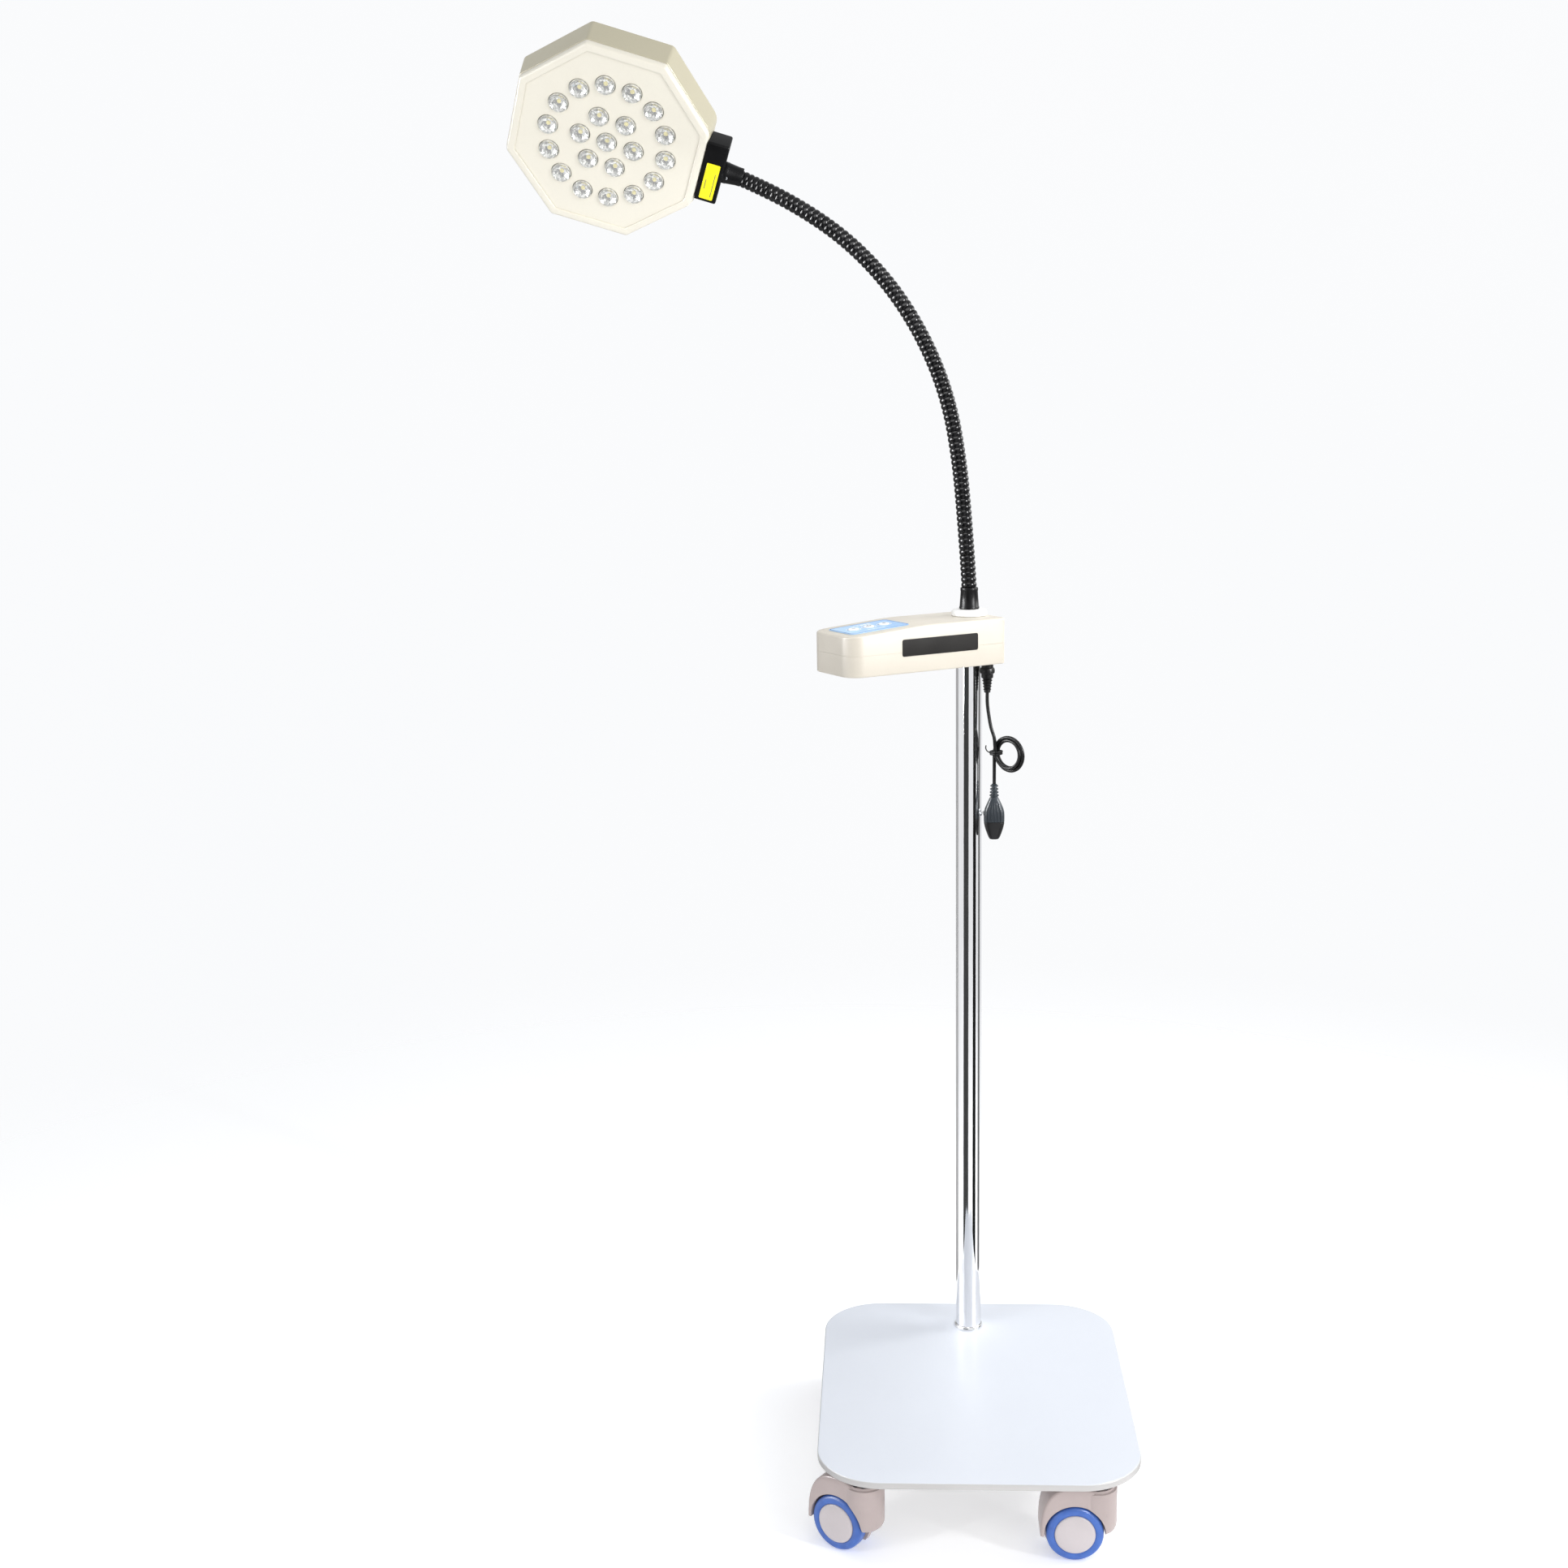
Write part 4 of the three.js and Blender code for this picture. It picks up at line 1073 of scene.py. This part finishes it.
def resample(points, count):
    """Points at equal steps along a curve."""
    lengths = [0.0]
    for a, b in zip(points, points[1:]):
        lengths.append(lengths[-1] + (b - a).length)
    out, k = [], 0
    for i in range(count + 1):
        want = lengths[-1] * i / count
        while k < len(lengths) - 2 and lengths[k + 1] < want:
            k += 1
        span = max(lengths[k + 1] - lengths[k], 1e-9)
        out.append(points[k].lerp(points[k + 1], (want - lengths[k]) / span))
    return out


def rib_radius(phase):
    """The ribbed skin's radius at a place along one rib, from valley over crest to valley."""
    return RIB_VALLEY + (RIB_CREST - RIB_VALLEY) * math.sin(math.pi * phase) ** 0.7


def make_sleeve(number, start, joint, end, stands_for):
    """One length of ribbed skin, which bends across one joint."""
    curve = bend_curve(start, joint, end)
    length = sum((b - a).length for a, b in zip(curve, curve[1:]))
    ribs = max(3, round(length / RIB_PITCH))
    steps = 8
    points = resample(curve, ribs * steps)
    radii = [rib_radius((i % steps) / steps) for i in range(len(points))]
    skin = tube_along(points, radii, 28)
    piece = make(f"sleeve_{number}", skin, "sleeve", None, None, stands_for, 60)
    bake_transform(piece)


def make_neck(head):
    """The ribbed skin in nine lengths, and the ferrule at its foot."""
    joints = neck_points()
    toward_head = (head.to_3x3() @ Vector((-1, 0, 0))).normalized()
    middles = [(a + b) / 2 for a, b in zip(joints, joints[1:])]
    ends = [Vector((0, 0, NECK_Z - SLEEVE_SINK))] + middles + [joints[-1] + toward_head * SLEEVE_RUN_IN]
    for k in range(9):
        stands_for = f"neck_link_{k + 1}" if k < 8 else ()
        make_sleeve(k + 1, ends[k], joints[k], ends[k + 1], stands_for)
    z = BOX_TOP + 8.3
    top = NECK_Z - 2.5
    ferrule = [(6.3, z), (11.4, z), (12.0, z + 0.5), (12.0, z + 2.2), (11.5, z + 2.9), (10.3, top - 4.2),
               (10.6, top - 3.4), (10.7, top - 0.8), (10.3, top), (9.6, top + 0.2), (9.4, top - 1.0),
               (9.2, z + 14), (6.3, z + 14)]
    make("lower_ferrule", turned(ferrule, 56, loop=True), "black", "stand", None, "neck_collar", 40)


# --- lamp head -----------------------------------------
def head_frame(neck_end):
    """The lamp head's place: X towards the neck, Z out of the face."""
    az, el = math.radians(HEAD_AZIMUTH), math.radians(HEAD_ELEVATION)
    tilt = math.radians(HEAD_TILT)
    to_neck = Vector((math.cos(az) * math.cos(el), math.sin(az) * math.cos(el), -math.sin(el)))
    level = Vector((math.sin(az), -math.cos(az), 0))
    down = level.cross(to_neck).normalized()
    face = level * math.cos(tilt) - down * math.sin(tilt)
    up = face.cross(to_neck)
    origin = neck_end - to_neck * HEAD_REACH + face * HEAD_AXIS_DEPTH
    return Matrix.Translation(origin) @ Matrix((to_neck, up, face)).transposed().to_4x4()


def octagon_ring(r, z, soft, steps=5):
    """An octagon ring. The two corners beside the bracket are rounder than the others."""
    corners = [polar(r, math.radians(22.5 + 45 * k)) for k in range(8)]
    radii = [soft * 2.6 if k in (0, 7) else soft for k in range(8)]
    return lifted(filleted(corners, radii, steps), z)


def led_spots():
    """The lenses' centres: one in the middle, then the outer and the inner ring."""
    spots = [(0.0, 0.0)]
    for count, radius, phase in (OUTER_RING, INNER_RING):
        for i in range(count):
            a = math.radians(phase) - TURN * i / count
            spots.append(polar(radius, a))
    return spots


def make_head_shells(head):
    """The rim round the face, and the rear shell."""
    lip = FACE_R - BEZEL_W
    bezel = [(lip, -1.6, 3), (lip, -0.7, 3), (lip + 0.4, -0.25, 3), (lip + 1.0, -0.05, 3),
             (lip + 2.0, 0.0, 3), (FACE_R - 3.0, -0.05, 4.4), (FACE_R - 1.4, -0.5, 4.8),
             (FACE_R - 0.4, -1.5, 5.2), (FACE_R + 1.0, -7.2, 6), (FACE_R + 0.7, -7.9, 6),
             (FACE_R - 5, -7.9, 4), (FACE_R - 5, -1.6, 4)]
    rings = [octagon_ring(*b) for b in bezel]
    make("face_rim", loft(rings, loop=True), "face", "head", head, "head_bezel", 40)
    shell = [(0, -HEAD_DEPTH + 3, 1), (60, -HEAD_DEPTH + 3, 2), (COVER_R - 2, -HEAD_DEPTH + 3, 5),
             (BACK_R - 4, BACK_Z + 2, 6), (SHELL_R - 3, SEAM_Z, 5), (SHELL_R - 0.6, SEAM_Z, 6),
             (SHELL_R, SEAM_Z - 0.6, 6), (BACK_R - 0.5, BACK_Z + 3.4, 7.4),
             (BACK_R - 0.4, BACK_Z + 1.0, 7.6), (BACK_R - 1.8, BACK_Z - 1.2, 7.8),
             (COVER_R + 2.6, -HEAD_DEPTH + 1.0, 8), (COVER_R - 0.2, -HEAD_DEPTH + 0.15, 8),
             (COVER_R - 4, -HEAD_DEPTH, 8), (60, -HEAD_DEPTH, 4), (0, -HEAD_DEPTH, 1)]
    rings = [octagon_ring(*s) if s[0] else [Vector((0, 0, s[1]))] for s in shell]
    make("lamp_shell", loft(rings), "housing", "head", head, "head_rear_housing", 30)


def make_face(head):
    """The front panel, with a hole for each lens."""
    panel = [Vector((p.x, p.y)) for p in octagon_ring(FACE_R - 5.3, 0, 4)]
    holes = [round_hole(x, y, LENS_R + LENS_HOLE_GAP, 48) for x, y in led_spots()]
    sheet = sheet_with_holes(panel, holes, -4.2, -1.9)
    make("face_panel", sheet, "face", "head", head, "front_panel")


def optic_cup(turn):
    """A faceted cup: three rings of flats, each turned half a flat from the last."""
    sides = 12
    rings = []
    for k, (r, z) in enumerate([(10.4, -1.2), (8.4, -3.6), (5.8, -5.2), (2.8, -6.0)]):
        angles = [TURN * (i + turn + k / 2) / sides for i in range(sides)]
        rings.append([Vector((*polar(r, a), z)) for a in angles])
    verts = [p for ring in rings for p in ring]
    faces = []
    for k in range(3):
        a, b = k * sides, (k + 1) * sides
        for i in range(sides):
            j = (i + 1) % sides
            faces.append([a + i, a + j, b + i])
            faces.append([a + j, b + j, b + i])
    faces.append([3 * sides + i for i in range(sides)])
    return verts, faces


def make_lenses(head):
    """A cup, rim, light source and clear cover for each lens."""
    rim = turned([(10.5, -6.4), (LENS_R, -6.4), (LENS_R, -0.6), (LENS_R - 0.25, -0.25), (10.7, -0.25),
                  (10.5, -0.6)], 48, loop=True)
    cover = turned([(0, 1.1), (3, 1.0), (6, 0.65), (8.5, 0.15), (10.4, -0.55), (10.4, -0.95), (0, -0.8)], 40)
    led = turned([(0, -4.2), (1.2, -4.4), (2.2, -5.3), (2.6, -5.9), (2.6, -6.2), (0, -6.2)], 24)
    cups, rims, covers, leds = Shape(), Shape(), Shape(), Shape()
    for n, (x, y) in enumerate(led_spots()):
        spot = at(x, y, 0.6)
        cups.add(optic_cup(n * 0.37), 0, spot)
        rims.add(rim, 0, spot)
        covers.add(cover, 0, spot)
        leds.add(led, 0, spot)
    make("lens_cups", cups, "optic", "head", head, (), 5)
    make("lens_rims", rims, "rim", "head", head, ())
    make("lens_leds", leds, "led", "head", head, ())
    make("lens_covers", covers, "clear", "head", head, "lens_plate")


def make_bracket(head):
    """The black block on the head's side, its collar for the neck, and the plain yellow sticker."""
    apothem = math.cos(math.radians(22.5))
    slope = (BACK_R - SHELL_R) / (SEAM_Z - BACK_Z)

    def inner(z):
        """Where the shell's side is at a depth, with a small gap."""
        return (SHELL_R + slope * (SEAM_Z - z)) * apothem + 0.4

    rings = []
    for inset, x in [(0, None), (0, 135.6), (0.3, 136.7), (1.0, 137.4), (2.2, 137.8)]:
        outline = rectangle(BRACKET_Y, BRACKET_Z, inset, 3.0, 6)
        depths = [p.y + BRACKET_MIDDLE_Z for p in outline]
        rings.append([Vector((inner(z) if x is None else x, p.x, z)) for p, z in zip(outline, depths)])
    make("bracket_block", loft(rings), "black", "head", head, "head_bracket", 40)
    collar = turned([(0, 0), (12.0, 0), (12.3, 0.6), (12.3, 4.6), (12.0, 5.4), (11.8, 6.2), (11.0, 13.5),
                     (10.6, 17.4), (10.5, 22.0), (10.2, 23.0), (9.6, 23.0), (9.4, 21), (0, 20)], 56)
    turn = at(137, 0, -HEAD_AXIS_DEPTH) @ spun(90, "Y")
    make("upper_ferrule", collar, "black", "head", head @ turn, (), 40)
    place = at(125, -10.5, -1.9)
    sticker = Shape().add(pad(16, 46, 0, 0.35, 1.2, 0.15, 4), 0, place)
    for x, length in ((-4.6, 12), (4.6, 30)):
        sticker.add(pad(0.7, length, 0.35, 0.42, 0.3, 0.03), 1, place @ at(x, -4, 0))
    make("plain_sticker", sticker, ("label", "print"), "head", head, "warning_label")


def make_rear_details(head):
    """Cooling ribs and cover screws on the back of the lamp head."""
    fins, screws = Shape(), Shape()
    for k in range(9):
        y = (k - 4) * FIN_PITCH
        length = FIN_LENGTH - abs(k - 4) * 9
        fins.add(pad(length, 3.4, 0, 1.6, 1.6, 0.7, 5), 0, at(0, y, -HEAD_DEPTH + 0.2) @ spun(180, "X"))
    screw = turned([(0, 0.2), (1.6, 0.2), (1.8, 0.9), (3.2, 0.9), (3.8, 0.4), (3.9, 0), (0, -0.5)], 24)
    for k in range(4):
        x, y = polar(COVER_SCREW_R, math.radians(45 + 90 * k))
        screws.add(screw, 0, at(x, y, -HEAD_DEPTH) @ spun(180, "X"))
    make("cooling_ribs", fins, "housing", "head", head, ())
    make("cover_screws", screws, "zinc", "head", head, ())


# --- studio and finish ---------------------------------
def dress_cad_nodes():
    """The CAD nodes that stay in sight, or would if a shell were open, take procedural materials too."""
    finishes = {
        "zinc": ["pole_foot_insert", "pole_washer", "pole_bolt", "neck_nut", "bracket_set_screw"],
        "steel": ["neck_socket"],
        "aluminium": ["pole_clamp", "heat_sink"],
        "circuit": ["control_board", "led_board"],
        "grey": ["power_supply", "led_driver"],
    }
    finishes["zinc"] += [f"caster_stem_{corner}" for corner in CASTER_YAW]
    for key, names in finishes.items():
        for name in names:
            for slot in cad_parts[name].material_slots:
                slot.material = MAT[key]


def make_world():
    """A pale, slightly cool surround."""
    world = bpy.data.worlds.new("studio")
    world.use_nodes = True
    back = world.node_tree.nodes["Background"]
    back.inputs["Color"].default_value = (0.95, 0.965, 1.0, 1)
    back.inputs["Strength"].default_value = 0.5
    bpy.context.scene.world = world
    bpy.context.scene.view_settings.view_transform = "Standard"


def aim(obj, target):
    """Turns a light so that it shines on a point."""
    obj.rotation_euler = (Vector(target) - obj.location).to_track_quat("-Z", "Y").to_euler()


def softbox(name, spot, target, size, power, colour=(1, 1, 1)):
    """A rectangular light of so many watts, aimed at a point."""
    data = bpy.data.lights.new(name, "AREA")
    data.shape = "RECTANGLE"
    data.size, data.size_y = size
    data.energy = power
    data.color = colour
    light = placed(name, data)
    light.location = spot
    aim(light, target)
    light.visible_camera = False


def make_lights():
    """A broad soft key from the front right, and smaller lights for the base, the box and the neck."""
    data = bpy.data.lights.new("front_soft", "SUN")
    data.energy = 1.15
    data.angle = math.radians(40)
    data.color = (1.0, 0.985, 0.95)
    soft = placed("front_soft", data)
    soft.location = (1.6, -2.6, 1.6)
    soft.visible_glossy = False
    aim(soft, (0.0, 0.0, 1.1))
    softbox("base_light", (0.75, 0.55, 1.3), (0.17, 0.0, 0.11), (0.7, 0.7), 2.6, (0.96, 0.98, 1.0))
    above, box = Vector((-0.06, -0.24, 1.5)), Vector((-0.06, -0.08, 1.01))
    softbox("box_light", ORIGIN + above, ORIGIN + box, (0.3, 0.3), 1.4)
    softbox("strip_right", (2.0, -1.3, 1.35), NECK_MIDDLE, STRIP_SIZE, 18)
    softbox("side_soft", (2.1, 0.5, 1.75), (-0.2, 0.15, 1.6), (1.0, 0.9), 26, (1.0, 0.99, 0.96))
    softbox("strip_left", (-1.75, -1.45, 1.35), NECK_MIDDLE, STRIP_SIZE, 15)


def make_dome():
    """A white studio surround, seen directly and in polished metal, that adds no light of its own."""
    n = Nodes("studio_white")
    n.set(Specular_IOR_Level=0.0)
    n.shader.inputs["Base Color"].default_value = (0, 0, 0, 1)
    tone = n.spread(n.noise(0.2, 2), 0, 1)
    n.link(n.blend(tone, (0.95, 0.96, 0.975), (0.965, 0.97, 0.98)), "Emission Color")
    n.set(Emission_Strength=1.0)
    shape = Shape().add(turned([(0, -9000), (6400, -6400), (9000, 0), (6400, 6400), (0, 9000)], 32))
    dome = make("studio_surround", shape, (), None)
    dome.data.materials.append(n.material)
    dome.modifiers.new("round", "SUBSURF").render_levels = 3
    dome.visible_diffuse = False
    dome.visible_shadow = False
    dome.visible_transmission = False


def card_material(name, low, high):
    """A dull card, a little uneven in tone."""
    n = Nodes(name)
    n.link(n.blend(n.noise(3), (low,) * 3, (high,) * 3), "Base Color")
    n.set(Roughness=1.0, Specular_IOR_Level=0.0)
    return n.material


def studio_card(name, corners, material):
    """A card that only glossy surfaces see."""
    mesh = bpy.data.meshes.new(name)
    mesh.from_pydata([ORIGIN + c for c in corners], [], [(0, 1, 3, 2)])
    mesh.materials.append(material)
    card = placed(name, mesh)
    card.visible_camera = False
    card.visible_diffuse = False
    card.visible_shadow = False
    card.visible_transmission = False


def card_edge(azimuth, width, reach, height):
    """The two ends of a card's level edge, seen from the pole. Azimuth 0 is the front."""
    angles = [math.radians(azimuth + turn) for turn in (-width / 2, width / 2)]
    return [Vector((reach * math.sin(a), -reach * math.cos(a), height)) for a in angles]


def make_flags():
    """Black and grey cards that draw lines down the polished tube, as a studio sets them. Each one leans
    away from the tube and widens with distance, so that its line keeps one width from foot to top."""
    dark = card_material("flag_black", 0.01, 0.014)
    dim = card_material("flag_dim", 0.05, 0.075)
    grey = card_material("flag_grey", 0.16, 0.2)
    pale = card_material("flag_pale", 0.36, 0.42)
    for name, azimuth, width, material in (("flag_left", -27, 44, dim), ("flag_front", 48, 28, dark),
                                           ("flag_right", 99, 26, grey), ("flag_rear", -142, 66, pale)):
        corners = card_edge(azimuth, width, *FLAG_FOOT) + card_edge(azimuth, width, *FLAG_TOP)
        studio_card(name, corners, material)


def make_glints():
    """Tall bright cards that bead the gooseneck's ribs with light. Their lower edge is above the tube, so
    that they don't show in it."""
    glow = Nodes("glint_white")
    glow.link(glow.blend(glow.noise(2), (0.98, 0.98, 1.0), (1.0, 1.0, 1.0)), "Emission Color")
    glow.set(Roughness=1.0, Specular_IOR_Level=0.0, Emission_Strength=GLINT_POWER)
    for name, azimuth, width in (("glint_left", -80, 24), ("glint_right", 54, 18)):
        corners = card_edge(azimuth, width, *GLINT_FOOT) + card_edge(azimuth, width, *GLINT_TOP)
        studio_card(name, corners, glow.material)


def make_floor():
    """A pale studio floor that fades out far from the light."""
    n = Nodes("studio_floor")
    reach = n.add("ShaderNodeVectorMath", {0: n.coords, 1: (0.0, 0.0, 0.0)}, operation="DISTANCE")
    tone = n.spread(n.noise(2.2, 4), 0, 1)
    n.link(n.blend(tone, (0.93, 0.935, 0.945), (0.95, 0.955, 0.962)), "Base Color")
    n.link(n.spread(n.noise(9, 4), 0.7, 0.85), "Roughness")
    n.link(n.spread(reach.outputs["Value"], 1.0, 0.0, 0.7, 2.2), "Alpha")
    n.set(Specular_IOR_Level=0.1, Emission_Strength=0.32)
    n.shader.inputs["Emission Color"].default_value = (1, 1, 1, 1)
    mesh = bpy.data.meshes.new("floor")
    rim = circle(FLOOR_R, FLOOR_Z, 48)
    mesh.from_pydata(rim, [], [list(range(len(rim)))])
    mesh.materials.append(n.material)
    floor = placed("floor", mesh)


make_camera()
make_materials()
cord, cord_exit, cord_length = make_cord()
make_gland()
strap = make_tie()
plug = make_plug()
make_plate()
make_pole()
make_casters()
box_yaw = make_shells()
make_keypad(box_yaw)
make_box_details(box_yaw)
lamp = head_frame(neck_points()[-1])
make_neck(lamp)
make_head_shells(lamp)
make_face(lamp)
make_lenses(lamp)
make_bracket(lamp)
make_rear_details(lamp)
dress_cad_nodes()
make_world()
make_lights()
make_dome()
make_flags()
make_glints()
make_floor()
